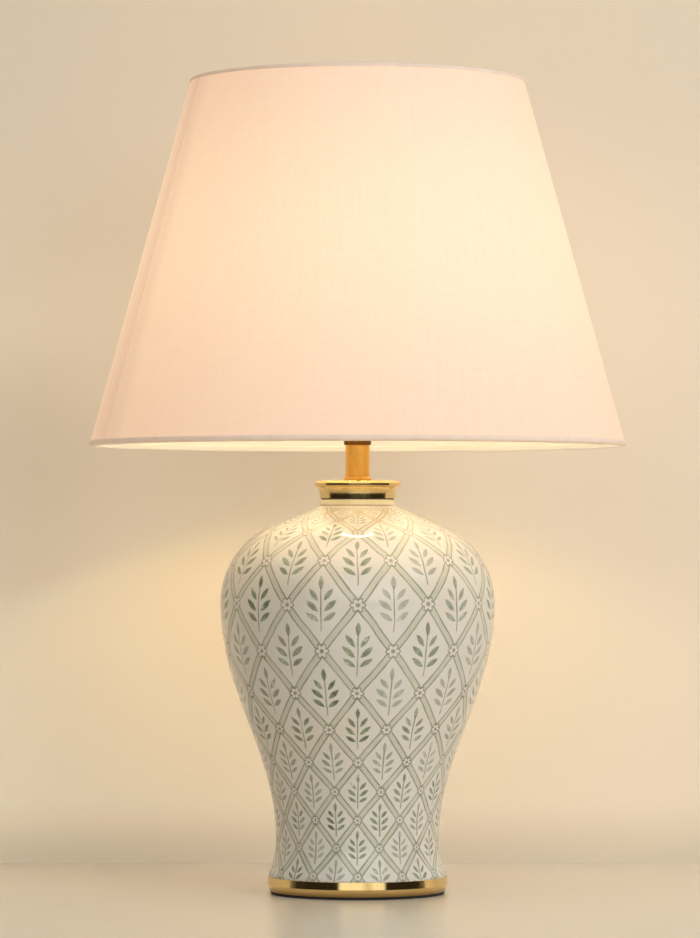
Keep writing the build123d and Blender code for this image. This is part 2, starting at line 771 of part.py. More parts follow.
with BuildPart() as switch_knob:
    with BuildSketch(Plane.XZ.offset(knob_y)):
        with Locations((0, switch_z)):
            Circle(knob_stem_radius)
    extrude(amount=knob_stem_length)
    with BuildSketch(Plane.YZ.offset(-knob_thickness / 2)):
        with Locations((-knob_y - knob_stem_length, switch_z)):
            Rectangle(paddle_length, 2 * knob_radius, align=(Align.MAX, Align.CENTER))
        with Locations((-knob_y - knob_length + knob_radius, switch_z)):
            Circle(knob_radius)
    extrude(amount=knob_thickness)
    with BuildSketch(Plane.XZ.offset(knob_y)):
        with Locations((0, switch_z)):
            Circle(shaft_radius + slip)
    extrude(amount=knob_stem_length, mode=Mode.SUBTRACT)

# Bulb: contact, screw cap, housing, light board and opal globe
with BuildPart() as bulb_contact:
    with BuildSketch(Plane.XY.offset(bulb_z)):
        Circle(bulb_contact_radius)
    extrude(amount=bulb_contact_height)
    fillet(bulb_contact.edges().group_by(Axis.Z)[0], bulb_contact_height / 2)

with BuildPart() as bulb_cap:
    with BuildSketch(Plane.XZ):
        with BuildLine():
            Polyline((0, bulb_cone_z), (bulb_contact_radius, bulb_cone_z), (bulb_cap_radius, bulb_shell_z),
                     (bulb_cap_radius, bulb_housing_z), (0, bulb_housing_z), close=True)
        make_face()
    revolve(axis=Axis.Z)

with BuildPart() as bulb_housing:
    with BuildSketch(Plane.XZ):
        with BuildLine():
            collar = (bulb_cap_radius + bulb_collar, bulb_housing_z)
            shoulder = (bulb_housing_radius, globe_seat_z)
            TangentArc(shoulder, collar, tangent=(-globe_drop, -bulb_housing_radius))
            Polyline(collar, (0, bulb_housing_z), (0, globe_seat_z), shoulder)
        make_face()
    revolve(axis=Axis.Z)

with BuildPart() as bulb_board:
    with BuildSketch(Plane.XY.offset(globe_seat_z)):
        Circle(bulb_board_radius)
    extrude(amount=bulb_board_thickness)

with BuildPart() as bulb_globe:
    with BuildSketch(Plane.XZ):
        with BuildLine():
            globe_bore = bulb_radius - bulb_globe_wall
            seat_turn = degrees(asin(globe_drop / bulb_radius))
            bore_turn = degrees(asin(globe_drop / globe_bore))
            outside = CenterArc((0, globe_z), bulb_radius, -seat_turn, 90 + seat_turn)
            inside = CenterArc((0, globe_z), globe_bore, -bore_turn, 90 + bore_turn)
            Line(outside @ 0, inside @ 0)
            Line(outside @ 1, inside @ 1)
        make_face()
    revolve(axis=Axis.Z)

# Shade panel: a rolled cone with a lap where its ends are glued
with BuildPart() as shade_panel:
    with BuildSketch(slope_plane()):
        Rectangle(slope_length, panel_thickness, align=(Align.MIN, Align.MIN))
    revolve(axis=Axis.Z)
    with BuildSketch(slope_plane(seam_angle)):
        with Locations((bottom_trim_height + slip, 0)):
            Rectangle(slope_length - bottom_trim_height - top_trim_height - 2 * slip, seam_thickness,
                      align=(Align.MIN, Align.MAX))
    revolve(axis=Axis.Z, revolution_arc=seam_lap)

# Wire ring along the lower edge
with BuildPart() as shade_bottom_ring:
    with BuildSketch(slope_plane()):
        with Locations((ring_wire_radius, ring_depth)):
            Circle(ring_wire_radius)
    revolve(axis=Axis.Z)

# Spider: the upper wire ring, and arms that drop to a hub on the stud
top_ring = slope_plane().from_local_coords((slope_length - ring_wire_radius, ring_depth))
arm_z = spider_z + spider_hub_thickness / 2
with BuildPart() as spider_arm:
    with BuildLine(Plane.XZ) as arm_path:
        arm = FilletPolyline((spider_arm_start, arm_z), (spider_arm_flat, arm_z),
                             (top_ring.X, top_ring.Z), radius=spider_bend_radius)
    with BuildSketch(Plane(origin=arm @ 0, z_dir=arm % 0)):
        Circle(spider_arm_radius)
    sweep(path=arm_path.wires()[0])
with BuildPart() as shade_spider:
    with BuildSketch(slope_plane()):
        with Locations((slope_length - ring_wire_radius, ring_depth)):
            Circle(ring_wire_radius)
    revolve(axis=Axis.Z)
    with PolarLocations(0, spider_arms, start_angle=spider_turn):
        add(spider_arm.part)
    with BuildSketch(Plane.XY.offset(spider_z)):
        Circle(spider_hub_radius)
    extrude(amount=spider_hub_thickness)
    with BuildSketch(Plane.XY.offset(spider_z)):
        Circle(stud_radius + slip)
    extrude(amount=spider_hub_thickness, mode=Mode.SUBTRACT)

# Bindings folded over the two edges of the panel and the wire rings
with BuildPart() as shade_bottom_trim:
    with BuildSketch(slope_plane()):
        with BuildLine():
            binding_section(0, 1, bottom_trim_height)
        make_face()
        with Locations((-slip, trim_depth)):
            Rectangle(inner_trim_height + slip, trim_thickness, align=(Align.MIN, Align.MIN))
    revolve(axis=Axis.Z)

with BuildPart() as shade_top_trim:
    with BuildSketch(slope_plane()):
        with BuildLine():
            binding_section(slope_length, -1, top_trim_height)
        make_face()
    revolve(axis=Axis.Z)

# Finial: a turned brass knob on the stud
with BuildPart() as finial:
    with BuildSketch(Plane.XZ):
        with BuildLine():
            ball_z = finial_z + finial_height - finial_ball_radius
            neck_turn = degrees(acos(finial_neck_radius / finial_ball_radius))
            base_top_z = finial_z + finial_base_height
            bore = stud_radius + thread_play
            bore_top_z = stud_top_z + finial_bore_spare
            ball = CenterArc((0, ball_z), finial_ball_radius, -neck_turn, 90 + neck_turn)
            Polyline(
                ball @ 0,
                (finial_neck_radius, base_top_z),
                (finial_base_radius, base_top_z),
                (finial_base_radius, finial_z),
                (bore, finial_z),
                (bore, bore_top_z),
                (0, bore_top_z),
                ball @ 1,
            )
        make_face()
    revolve(axis=Axis.Z)

pieces = {
    "felt_pad": felt_pad,
    "brass_base": brass_base,
    "cord_grommet": cord_grommet,
    "base_washer": base_washer,
    "base_lock_washer": base_lock_washer,
    "base_nut": base_nut,
    "threaded_rod": threaded_rod,
    "foot_gasket": foot_gasket,
    "ceramic_body": ceramic_body,
    "neck_gasket": neck_gasket,
    "vase_cap": vase_cap,
    "stem_foot_ring": stem_foot_ring,
    "stem_tube": stem_tube,
    "stem_top_ring": stem_top_ring,
    "harp_saddle": harp_saddle,
    "harp": harp,
    "harp_stud": harp_stud,
    "socket_cap": socket_cap,
    "socket_set_screw": socket_set_screw,
    "socket_shell": socket_shell,
    "socket_liner": socket_liner,
    "socket_core": socket_core,
    "terminal_screws": terminal_screws,
    "screw_shell": screw_shell,
    "centre_contact": centre_contact,
    "switch_shaft": switch_shaft,
    "switch_knob": switch_knob,
    "bulb_contact": bulb_contact,
    "bulb_cap": bulb_cap,
    "bulb_housing": bulb_housing,
    "bulb_board": bulb_board,
    "bulb_globe": bulb_globe,
    "shade_panel": shade_panel,
    "shade_bottom_ring": shade_bottom_ring,
    "shade_spider": shade_spider,
    "shade_bottom_trim": shade_bottom_trim,
    "shade_top_trim": shade_top_trim,
    "finial": finial,
}
for piece_name, piece in pieces.items():
    piece.part.label = piece_name
    export_step(piece.part, f"parts/{piece_name}.step")
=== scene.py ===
import json
import math

import bmesh
import bpy
from bpy.props import FloatProperty, FloatVectorProperty, IntProperty, PointerProperty
from mathutils import Matrix, Vector


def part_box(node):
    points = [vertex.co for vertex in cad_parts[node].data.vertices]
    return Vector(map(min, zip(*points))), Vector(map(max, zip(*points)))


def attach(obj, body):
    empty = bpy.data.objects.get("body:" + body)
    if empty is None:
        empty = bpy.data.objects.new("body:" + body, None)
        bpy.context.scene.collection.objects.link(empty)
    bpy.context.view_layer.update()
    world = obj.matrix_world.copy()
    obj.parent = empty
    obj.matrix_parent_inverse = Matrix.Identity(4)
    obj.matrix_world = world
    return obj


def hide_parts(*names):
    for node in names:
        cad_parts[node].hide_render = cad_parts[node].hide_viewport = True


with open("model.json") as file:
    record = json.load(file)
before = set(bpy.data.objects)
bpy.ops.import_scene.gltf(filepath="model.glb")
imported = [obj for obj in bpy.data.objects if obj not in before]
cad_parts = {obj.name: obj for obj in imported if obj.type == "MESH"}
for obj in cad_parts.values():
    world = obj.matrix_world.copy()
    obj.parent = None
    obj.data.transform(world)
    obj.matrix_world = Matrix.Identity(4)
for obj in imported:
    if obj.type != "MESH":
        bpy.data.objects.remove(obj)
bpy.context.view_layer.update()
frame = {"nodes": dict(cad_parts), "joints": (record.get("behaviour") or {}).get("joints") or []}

bl_info = {
    "name": "Ceramic table lamp",
    "version": (1, 0, 0),
    "blender": (4, 5, 0),
    "location": "3D View > Sidebar > Lamp",
    "description": "Dresses a packed table lamp with its glaze, brass, shade and light",
    "category": "Object",
}


def number(name, description, default, **kind):
    """Property for a number, plain or of a given unit."""
    return FloatProperty(name=name, description=description, default=default, **kind)


def length(name, description, default):
    """Property for a length in metres."""
    return number(name, description, default, unit="LENGTH", precision=4)


def angle(name, description, degrees):
    """Property for an angle, given in degrees."""
    return number(name, description, math.radians(degrees), subtype="ANGLE")


def count(name, description, default):
    """Property for a number of like things."""
    return IntProperty(name=name, description=description, default=default, min=1, subtype="UNSIGNED")


def colour(name, description, default):
    """Property for a linear colour."""
    return FloatVectorProperty(name=name, description=description, default=default, size=3, min=0, max=1,
                               subtype="COLOR")


class BodySettings(bpy.types.PropertyGroup):
    """Sizes and colours of the ceramic body."""

    waist_radius: length("Waist radius", "Narrowest radius above the foot", 0.0608)
    waist_height: length("Waist height", "From the foot ring up to the waist", 0.028)
    flare_radius: length("Flare radius", "Radius of the curve between waist and foot", 0.0612)
    foot_band: length("Foot band", "Upright band at the foot", 0.0033)
    foot_edge: length("Foot edge", "Rounding of the lower edge", 0.0012)
    foot_ring: length("Foot ring", "Width of the ring that the body stands on", 0.012)
    foot_recess: length("Foot recess", "Hollow inside the foot ring", 0.003)
    floor: length("Floor", "From the foot ring up to the inner floor", 0.010)
    drain: length("Drain", "Radius of the hole in the floor", 0.009)
    waist_handle: length("Waist handle", "Pull of the side curve above the waist", 0.066)
    belly_height: length("Belly height", "From the foot ring up to the widest place", 0.2037)
    belly_handle: length("Belly handle", "Pull of the side curve below the belly", 0.068)
    shoulder_radius: length("Shoulder radius", "Radius of the shoulder in section", 0.0626)
    shoulder_pitch: angle("Shoulder pitch", "Slope of the upper shoulder", 22.4)
    neck_radius: length("Neck radius", "Outer radius of the neck", 0.028)
    neck_height: length("Neck height", "Upright stretch of the neck", 0.0045)
    neck_root: length("Neck root", "Rounding between shoulder and neck", 0.0014)
    rim_edge: length("Rim edge", "Rounding of the rim of the neck", 0.001)
    wall: length("Wall", "Thickness of the ceramic", 0.006)
    columns: count("Columns", "Diamonds of the painted trellis round the body", 12)
    cell_aspect: number("Diamond aspect", "Height of a diamond over its width", 1.28)
    white: colour("Glaze", "White of the glaze", (0.80, 0.79, 0.74))
    outline: colour("Outline", "Painted outlines", (0.195, 0.205, 0.140))
    ribbon: colour("Ribbon", "Pale wash inside the trellis", (0.53, 0.58, 0.42))
    leaf: colour("Leaf", "Painted leaves", (0.225, 0.305, 0.150))
    dab: colour("Dab", "Darkest touches of the brush", (0.055, 0.090, 0.040))
    umber: colour("Umber", "Line round the neck", (0.36, 0.24, 0.13))
    # Painted warm light of the bulb on the neck
    neck_warm_light: colour("Neck warm light", "Tint of the glaze on the neck", (1.0, 0.89, 0.44))


class BrassSettings(bpy.types.PropertyGroup):
    """Sizes and colours of the brass pieces."""

    knuckle: length("Knuckle", "Height of the undercut wall of the foot", 0.0052)
    undercut: length("Undercut", "How far the lower wall of the foot draws in", 0.0021)
    foot_swell: length("Foot swell", "How far the middle of the foot stands out", 0.0002)
    rim_lean: length("Rim lean", "How far the rim of the foot draws in", 0.0003)
    foot_wall: length("Foot wall", "Thickness of the foot", 0.0014)
    foot_plate: length("Foot plate", "Plate under the ceramic", 0.0012)
    seat_depth: length("Seat depth", "Depth of the seat for the ceramic", 0.002)
    seat_radius: length("Seat radius", "Radius of the seat for the ceramic", 0.0663)
    inlet_radius: length("Inlet radius", "Hole in the back of the foot for the grommet", 0.0034)
    grommet_wall: length("Grommet wall", "Thickness of the grommet", 0.001)
    cap_foot: length("Cap foot", "Radius of the lower edge of the cap", 0.0284)
    cap_seat: length("Cap seat", "Width of the lower edge of the cap", 0.0024)
    cap_flare: length("Cap flare", "How far the side of the cap flares out", 0.0026)
    cap_straight: length("Cap straight", "Upright stretch at the cap's lower edge", 0.0034)
    cap_lip: length("Cap lip", "Height of the lip of the cap", 0.0042)
    cap_bead: length("Cap bead", "Rounding of the top of the lip", 0.0024)
    cap_edge: length("Cap edge", "Rounding of the lower edge of the lip", 0.0006)
    cap_groove: length("Cap groove", "Depth of the groove under the lip of the cap", 0.0005)
    cap_wall: length("Cap wall", "Thickness of the cap", 0.0012)
    spigot: length("Spigot", "Radius of the spigot that centres the cap in the neck", 0.0217)
    ring_edge: length("Ring edge", "Rounding of the rings of the stem", 0.0008)
    stem_wall: length("Stem wall", "Thickness of the stem", 0.001)
    rod_hole: length("Rod hole", "Radius of the holes for the rod", 0.0051)
    polished: colour("Polished brass", "Foot and cap", (0.84, 0.62, 0.27))
    satin: colour("Satin brass", "Stem", (0.86, 0.49, 0.115))
    # The ring on top of the stem is brass painted dark: painted shade under the shade's rim
    shaded_ring: colour("Shaded ring", "Ring on top of the stem", (0.20, 0.085, 0.012))
    lacquered: colour("Lacquered brass", "Bow, holder and finial", (0.78, 0.57, 0.25))
    contact: colour("Contact brass", "Contacts of holder and bulb", (0.70, 0.55, 0.30))
    # Tint of the tarnished spots, and of the painted shade at the foot's lower edge
    tarnish_shade_tint: colour("Tarnish and shade", "Darker places on the brass", (0.38, 0.25, 0.09))


class ShadeSettings(bpy.types.PropertyGroup):
    """Sizes and colours of the shade."""

    top_radius: length("Top radius", "Radius of the panel's upper edge", 0.1242)
    thickness: length("Panel", "Thickness of fabric and backing", 0.00045)
    slip: length("Slip", "Gap between panel, rings and bindings", 0.0001)
    seam_angle: angle("Seam", "Start of the lap, from +X", 198.0)
    lap: angle("Lap", "How far the glued ends overlap", 4.0)
    # Painted dimmer band of glow on each side of the seam
    dim_band_spread: angle("Seam dim band", "How far the tape behind the seam reaches past the lap, each way", 6.5)
    lap_rise: length("Lap rise", "How far the outer end stands out", 0.0005)
    lap_run: angle("Lap run", "Stretch over which the outer end lifts", 7.0)
    tape: length("Tape", "Thickness of the binding", 0.0006)
    bottom_tape: length("Lower tape", "Height of the lower binding outside", 0.0026)
    top_tape: length("Upper tape", "Height of the upper binding outside", 0.0024)
    inner_tape: length("Inner tape", "Height of the lower binding inside", 0.004)
    ring_wire: length("Ring wire", "Radius of the two wire rings", 0.0015)
    arm_wire: length("Arm wire", "Radius of the arms of the spider", 0.0013)
    arm_flat: length("Arm flat", "Level stretch of each arm, from the axis", 0.026)
    arm_bend: length("Arm bend", "Radius of the bend of each arm", 0.018)
    arms: count("Arms", "Arms of the spider", 3)
    hub: length("Hub", "Radius of the spider's hub", 0.011)
    hub_height: length("Hub height", "Thickness of the spider's hub", 0.002)
    linen: colour("Linen", "Fabric of the shade", (0.47, 0.455, 0.44))
    glow: colour("Glow", "Light that comes through the fabric", (1.0, 0.63, 0.355))
    glow_level: number("Glow level", "Strength of that light", 0.87)
    lining: colour("Lining", "Backing inside the shade", (0.91, 0.90, 0.86))
    lining_glow: colour("Lining glow", "Light that the backing passes on", (1.0, 0.85, 0.64))
    binding: colour("Binding", "Tape on the edges", (0.84, 0.76, 0.71))
    binding_glow: colour("Binding glow", "Light through the tape", (0.90, 0.52, 0.25))


class FittingSettings(bpy.types.PropertyGroup):
    """Sizes and colours of the bow, the finial, the lamp holder and the bulb."""

    wire: length("Bow wire", "Radius of the bow's wire", 0.0022)
    flare_height: length("Bow flare", "Height over which the bow widens", 0.036)
    bend: length("Bow bend", "Radius of the bow's lower bends", 0.022)
    eye_height: length("Eye height", "Height of the eye at the top", 0.0048)
    eye_radius: length("Eye radius", "Radius of the eye at the top", 0.0055)
    stud_tail: length("Stud tail", "Radius of the hole in the eye", 0.0021)
    stud_hole: length("Stud hole", "Radius of the holes for the stud's thread", 0.0032)
    leg_spare: length("Leg spare", "Straight leg above a raised sleeve", 0.003)
    sleeve_edge: length("Sleeve edge", "Slanted ends of the sleeves", 0.0005)
    finial_base: length("Finial base", "Radius of the finial's base", 0.0070)
    finial_neck: length("Finial neck", "Radius under the finial's ball", 0.0046)
    finial_bore: length("Finial bore", "Depth of the finial's thread", 0.015)
    holder_hub: length("Holder hub", "Radius of the holder's lower end", 0.008)
    hub_height: length("Hub height", "Height of the holder's lower end", 0.007)
    skirt_wall: length("Skirt wall", "Thickness of the holder's skirt", 0.0009)
    shell_radius: length("Shell radius", "Radius of the holder's upper shell", 0.0155)
    shell_wall: length("Shell wall", "Thickness of the holder's upper shell", 0.0008)
    shell_groove: length("Shell groove", "From the ledge up to the groove round the shell", 0.024)
    notch: length("Notch", "Half the width of the notch for the switch", 0.003)
    key_half: length("Switch key", "Half the thickness of the switch key", 0.0019)
    globe_wall: length("Globe wall", "Thickness of the globe", 0.0012)
    bulb_collar: length("Bulb collar", "Radius of the housing at its lower end", 0.0139)
    globe: colour("Globe", "Opal globe of the bulb", (0.92, 0.88, 0.80))
    light: colour("Light", "Colour of the bulb's light", (1.0, 0.71, 0.41))
    light_level: number("Light level", "Strength of the bulb's light", 37.0)


class StageSettings(bpy.types.PropertyGroup):
    """Floor, backdrop, lights and camera."""

    floor: colour("Floor", "Pale table top", (0.86, 0.80, 0.70))
    wall: colour("Wall", "Pale backdrop", (0.92, 0.825, 0.68))
    # Painted light that brightens the left of the backdrop
    wall_painted_light: colour("Wall painted light", "Paleness that the backdrop gains on the left", (0.17, 0.155, 0.115))
    wall_pool: colour("Wall pool", "Paleness of the wall that is lit past the shade", (0.35, 0.25, 0.13))
    pool_top: length("Pool top", "Height from which light falls on the wall past the shade", 0.46)
    pool_slope: number("Pool slope", "Drop of the pool's edge for each metre outwards", 0.60)
    wall_distance: length("Wall distance", "From the lamp's axis back to the wall", 0.30)
    light_tint: colour("Light tint", "Colour of the studio lights", (1.0, 0.99, 0.97))
    key_power: number("Key power", "Strength of the key light", 33.0, unit="POWER")
    high_power: number("High power", "Strength of the high light", 4.0, unit="POWER")
    camera_distance: length("Camera distance", "From the lamp's axis to the camera", 3.24)
    camera_height: length("Camera height", "Height of the camera", 0.263)
    camera_side: length("Camera side", "How far the camera stands beside the axis", -0.0056)
    aim_height: length("Aim height", "Height that the camera looks at", 0.3155)
    lens: number("Lens", "Focal length in millimetres", 166.95, unit="CAMERA")


class Value:
    """A node's output that takes part in arithmetic: each operation adds a Math node."""

    def __init__(self, nodes, socket):
        self.nodes = nodes
        self.socket = socket

    def other(self, name):
        """Another output of the same node."""
        return Value(self.nodes, self.socket.node.outputs[name])

    def math(self, operation, *others):
        """A Math node on this value and others."""
        return self.nodes.math(operation, self, *others)

    def __add__(self, other):
        return self.math("ADD", other)

    def __mul__(self, other):
        return self.math("MULTIPLY", other)

    __radd__ = __add__
    __rmul__ = __mul__

    def __sub__(self, other):
        return self.math("SUBTRACT", other)

    def __rsub__(self, other):
        return self.nodes.math("SUBTRACT", other, self)

    def __truediv__(self, other):
        return self.math("DIVIDE", other)

    def __rtruediv__(self, other):
        return self.nodes.math("DIVIDE", other, self)

    def __abs__(self):
        return self.math("ABSOLUTE")

    def clamped(self):
        """The value kept between 0 and 1."""
        return self.math("MINIMUM", 1.0).math("MAXIMUM", 0.0)

    def smooth(self, start, end):
        """0 up to start, 1 from end on, with a soft step between."""
        return self.nodes.node("ShaderNodeMapRange", {"interpolation_type": "SMOOTHSTEP"},
                               {"Value": self, "From Min": start, "From Max": end})

    def below(self, limit, soft):
        """1 under a limit and 0 above it, with a soft edge."""
        return ((limit - self) / soft + 0.5).clamped()


def level_length(x, y):
    """Length of a vector from its two parts."""
    return (x * x + y * y).math("SQRT")


class Nodes:
    """A node tree, with a method that adds any node and some for common ones."""

    def __init__(self, tree):
        self.tree = tree

    def node(self, kind, settings=None, sockets=None, output=0):
        """Add a node: its settings, then the values or links of its sockets, a list for several links."""
        node = self.tree.nodes.new(kind)
        for name, setting in (settings or {}).items():
            setattr(node, name, setting)
        for name, value in (sockets or {}).items():
            for item in value if isinstance(value, list) else [value]:
                if isinstance(item, Value):
                    self.tree.links.new(item.socket, node.inputs[name])
                else:
                    node.inputs[name].default_value = item
        return Value(self, node.outputs[output]) if len(node.outputs) else node

    def math(self, operation, *values):
        """A Math node on some values."""
        return self.node("ShaderNodeMath", {"operation": operation}, dict(enumerate(values)))

    def split(self, vector):
        """The three parts of a vector."""
        first = self.node("ShaderNodeSeparateXYZ", {}, {0: vector})
        return [first.other(part) for part in "XYZ"]

    def join(self, x=0.0, y=0.0, z=0.0):
        """A vector made of three values."""
        return self.node("ShaderNodeCombineXYZ", {}, {0: x, 1: y, 2: z})


class Shader(Nodes):
    """The node tree of a material or a world."""

    def __init__(self, owner):
        owner.use_nodes = True
        super().__init__(owner.node_tree)
        self.tree.nodes.clear()

    def place(self):
        """Object coordinates."""
        return self.node("ShaderNodeTexCoord", output="Object")

    def chart(self, name):
        """The piece's own chart."""
        return self.node("ShaderNodeUVMap", {"uv_map": name})

    def noise(self, vector, scale, detail=2.0, roughness=0.5):
        """Cloudy noise, mostly near 0.5."""
        return self.node("ShaderNodeTexNoise", {}, {"Vector": vector, "Scale": scale, "Detail": detail,
                                                   "Roughness": roughness}, "Fac")

    def mix(self, factor, first, second):
        """Blend of two colours, each a link or a triple."""
        sides = [side if isinstance(side, Value) else (*side, 1.0) for side in (first, second)]
        return self.node("ShaderNodeMix", {"data_type": "RGBA"}, {0: factor, 6: sides[0], 7: sides[1]}, 2)

    def bump(self, height, distance, strength):
        """Normals bent by a height."""
        sockets = {"Height": height, "Distance": distance, "Strength": strength}
        return self.node("ShaderNodeBump", {}, sockets)

    def surface(self, **sockets):
        """End in a Principled shader; a name's underscores stand for spaces, and colours are triples."""
        named = {}
        for name, value in sockets.items():
            ready = isinstance(value, (Value, float))
            named[name.replace("_", " ")] = value if ready else (*value, 1.0)
        shell = self.node("ShaderNodeBsdfPrincipled", {}, named)
        self.node("ShaderNodeOutputMaterial", {}, {"Surface": shell})


def dimmed(tint, factor):
    """A colour made darker."""
    return tuple(part * factor for part in tint)


def leaf_mask(x, y, centre, turn, half_length, half_width):
    """1 inside a pointed leaf that stands at a centre and is turned by an angle, with a painted edge."""
    across = x - centre[0]
    along = y - centre[1]
    length_way = (across * math.cos(turn) + along * math.sin(turn)) / half_length
    width_way = (along * math.cos(turn) - across * math.sin(turn)) / half_width
    return ((1 - length_way * length_way - abs(width_way)) * 3.0).clamped()


# Leaves of half a sprig, in units of half a column: centre, turn in degrees, half length and half width
sprig_leaves = (
    ((0.24, -0.33), 34, 0.24, 0.088),
    ((0.26, -0.02), 40, 0.26, 0.095),
    ((0.21, 0.28), 52, 0.23, 0.085),
    ((0.0, 0.60), 90, 0.22, 0.085),
)


# Soft edge of a brush stroke
brush_edge = 0.0005


def trellis_ribbons(body, column_width, pressure, rising_step, falling_step):
    """Ribbons of the trellis and their outlines, from the distance in metres to the nearest line."""
    lean = math.cos(math.atan(1 / body.cell_aspect))
    to_rising = 0.5 - abs(rising_step - 0.5)
    to_falling = 0.5 - abs(falling_step - 0.5)
    to_line = to_rising.math("MINIMUM", to_falling) * column_width * lean
    ribbon_half = 0.0012 + column_width * 0.022
    outline = abs(to_line - ribbon_half).below(0.00028 + pressure * 0.00055, brush_edge)
    return to_line.below(ribbon_half, 0.0006), outline


def trellis_florets(body, column_width, pressure, rising, falling):
    """Floret at each crossing of the trellis, and the lines that it is drawn with."""
    near_rising = rising - rising.math("ROUND")
    near_falling = falling - falling.math("ROUND")
    x = (near_rising + near_falling) / 2 * column_width
    y = (near_rising - near_falling) / 2 * column_width * body.cell_aspect
    radius = level_length(x, y)
    petals = (y.math("ARCTAN2", x) * 6.0).math("COSINE")
    reach = column_width * 0.085 * (1 + petals * 0.2)
    edge = abs(radius - reach).below(0.0003 + pressure * 0.0005, brush_edge)
    heart = radius.below(column_width * 0.03, brush_edge)
    return radius.below(reach, brush_edge), edge.math("MAXIMUM", heart)


def trellis_sprigs(column_width, pressure, across, up):
    """Leaves and stem of the sprig in each diamond, in units of half a column, mirrored about the stem."""
    side = abs(across)
    leaves = 0.0
    for centre, turn, half_length, half_width in sprig_leaves:
        leaf = leaf_mask(side, up, centre, math.radians(turn), half_length, half_width)
        leaves = leaf.math("MAXIMUM", leaves)
    stem_span = abs(up + 0.12).below(0.62, 0.06)
    stem = (side * column_width / 2).below(0.00032 + pressure * 0.0004, 0.0004) * stem_span
    return leaves, stem


def painted_glaze(shader):
    """White glaze over a brushed trellis with a sprig in each diamond, in sage greens."""
    body = bpy.context.scene.lamp_body
    place = shader.place()
    px, py, pz = shader.split(place)
    aside = shader.node("ShaderNodeVectorMath", {"operation": "ADD"}, {0: place, 1: (3.1, 1.7, 0.4)})
    wobble = shader.noise(place, 38.0) - 0.5
    wobble_across = shader.noise(aside, 42.0) - 0.5
    pressure = shader.noise(place, 75.0, 3.0, 0.6)
    wash = shader.noise(place, 140.0, 3.0, 0.65)
    around, rows, _ = shader.split(shader.chart("glaze"))
    column_width = level_length(px, py) * (math.tau / body.columns)

    across = around * body.columns + wobble_across * 0.05
    up = rows + wobble * 0.045
    rising = across + up
    falling = across - up
    rising_cell = rising.math("FLOOR")
    falling_cell = falling.math("FLOOR")
    rising_step = rising - rising_cell
    falling_step = falling - falling_cell
    ribbon, edge = trellis_ribbons(body, column_width, pressure, rising_step, falling_step)
    floret, floret_line = trellis_florets(body, column_width, pressure, rising, falling)
    sprig_x = (rising_step - 0.5) + (falling_step - 0.5) + wobble_across * 0.02
    sprig_y = ((rising_step - 0.5) - (falling_step - 0.5)) * body.cell_aspect
    leaves, stem = trellis_sprigs(column_width, pressure, sprig_x, sprig_y)

    # Each sprig is painted with more or less colour
    cell_across = (rising_cell + falling_cell).math("WRAP", 2 * body.columns, 0.0)
    load = shader.node("ShaderNodeTexWhiteNoise", {"noise_dimensions": "3D"},
                       {"Vector": shader.join(cell_across, rising_cell - falling_cell, 0.5)}, "Value")

    # Where paint lies at all: from the foot to just under the neck; up there the lines get browner, a
    # painted warm light from the bulb
    neck_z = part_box("ceramic_body")[1].z - body.neck_height
    foot_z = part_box("ceramic_body")[0].z
    bare_neck = pz.smooth(neck_z - 0.0027, neck_z - 0.0012)
    painted = pz.smooth(foot_z + 0.0005, foot_z + 0.0015) * (1 - bare_neck)
    strength = painted * (1 - pz.smooth(neck_z - 0.063, neck_z - 0.003) * 0.15)
    warm_light_on_lines = pz.smooth(neck_z - 0.073, neck_z - 0.003) * 0.6
    line_colour = shader.mix(warm_light_on_lines, body.outline, body.umber)

    mottle = shader.noise(place, 16.0, 4.0, 0.6)
    white = body.white
    warm = (white[0], white[1] * 0.975, white[2] * 0.955)
    ground = shader.mix(mottle.below(0.40, 0.20), white, dimmed(white, 0.94))
    ground = shader.mix(mottle.below(0.58, 0.16), warm, ground)
    leaf_tone = shader.mix(((wash - 0.42) * 4.5).clamped(), body.leaf, body.dab)
    line = (edge * (1 - floret)).math("MAXIMUM", stem)
    collar = abs(pz - neck_z).below(0.00055, 0.0005)
    coats = (
        (ribbon * strength * (0.28 + wash * 0.5), body.ribbon),
        (leaves * strength * (0.48 + load * 0.47) * wash.smooth(0.25, 0.42), leaf_tone),
        (line * strength * (0.30 + pressure * 0.75), line_colour),
        (floret * painted * 0.85, ground),
        (floret_line * strength * (0.35 + pressure * 0.7), line_colour),
        # Painted warm light on the neck
        (pz.smooth(neck_z - 0.0005, neck_z + 0.001) * 0.6, body.neck_warm_light),
        (collar * (0.45 + pressure * 0.7), body.umber),
    )
    glaze = ground
    for cover, tint in coats:
        glaze = shader.mix(cover, glaze, tint)

    ripple = shader.noise(place, 34.0)
    skin = shader.noise(place, 320.0)
    shader.surface(
        Base_Color=glaze,
        Roughness=0.07 + skin * 0.09,
        Coat_Weight=0.35,
        Coat_Roughness=0.04,
        Normal=shader.bump(ripple + skin * 0.05, 0.0009, 0.55),
    )


# Brass finishes: the setting of their tint, roughness and depth of the turning lines
brass_finishes = {
    "polished brass": ("polished", 0.05, 0.00002),
    "satin brass": ("satin", 0.36, 0.00006),
    # Brass painted dark: painted shade under the shade's rim
    "shaded brass": ("shaded_ring", 0.22, 0.00003),
    "lacquered brass": ("lacquered", 0.12, 0.00003),
    "contact brass": ("contact", 0.30, 0.00004),
}


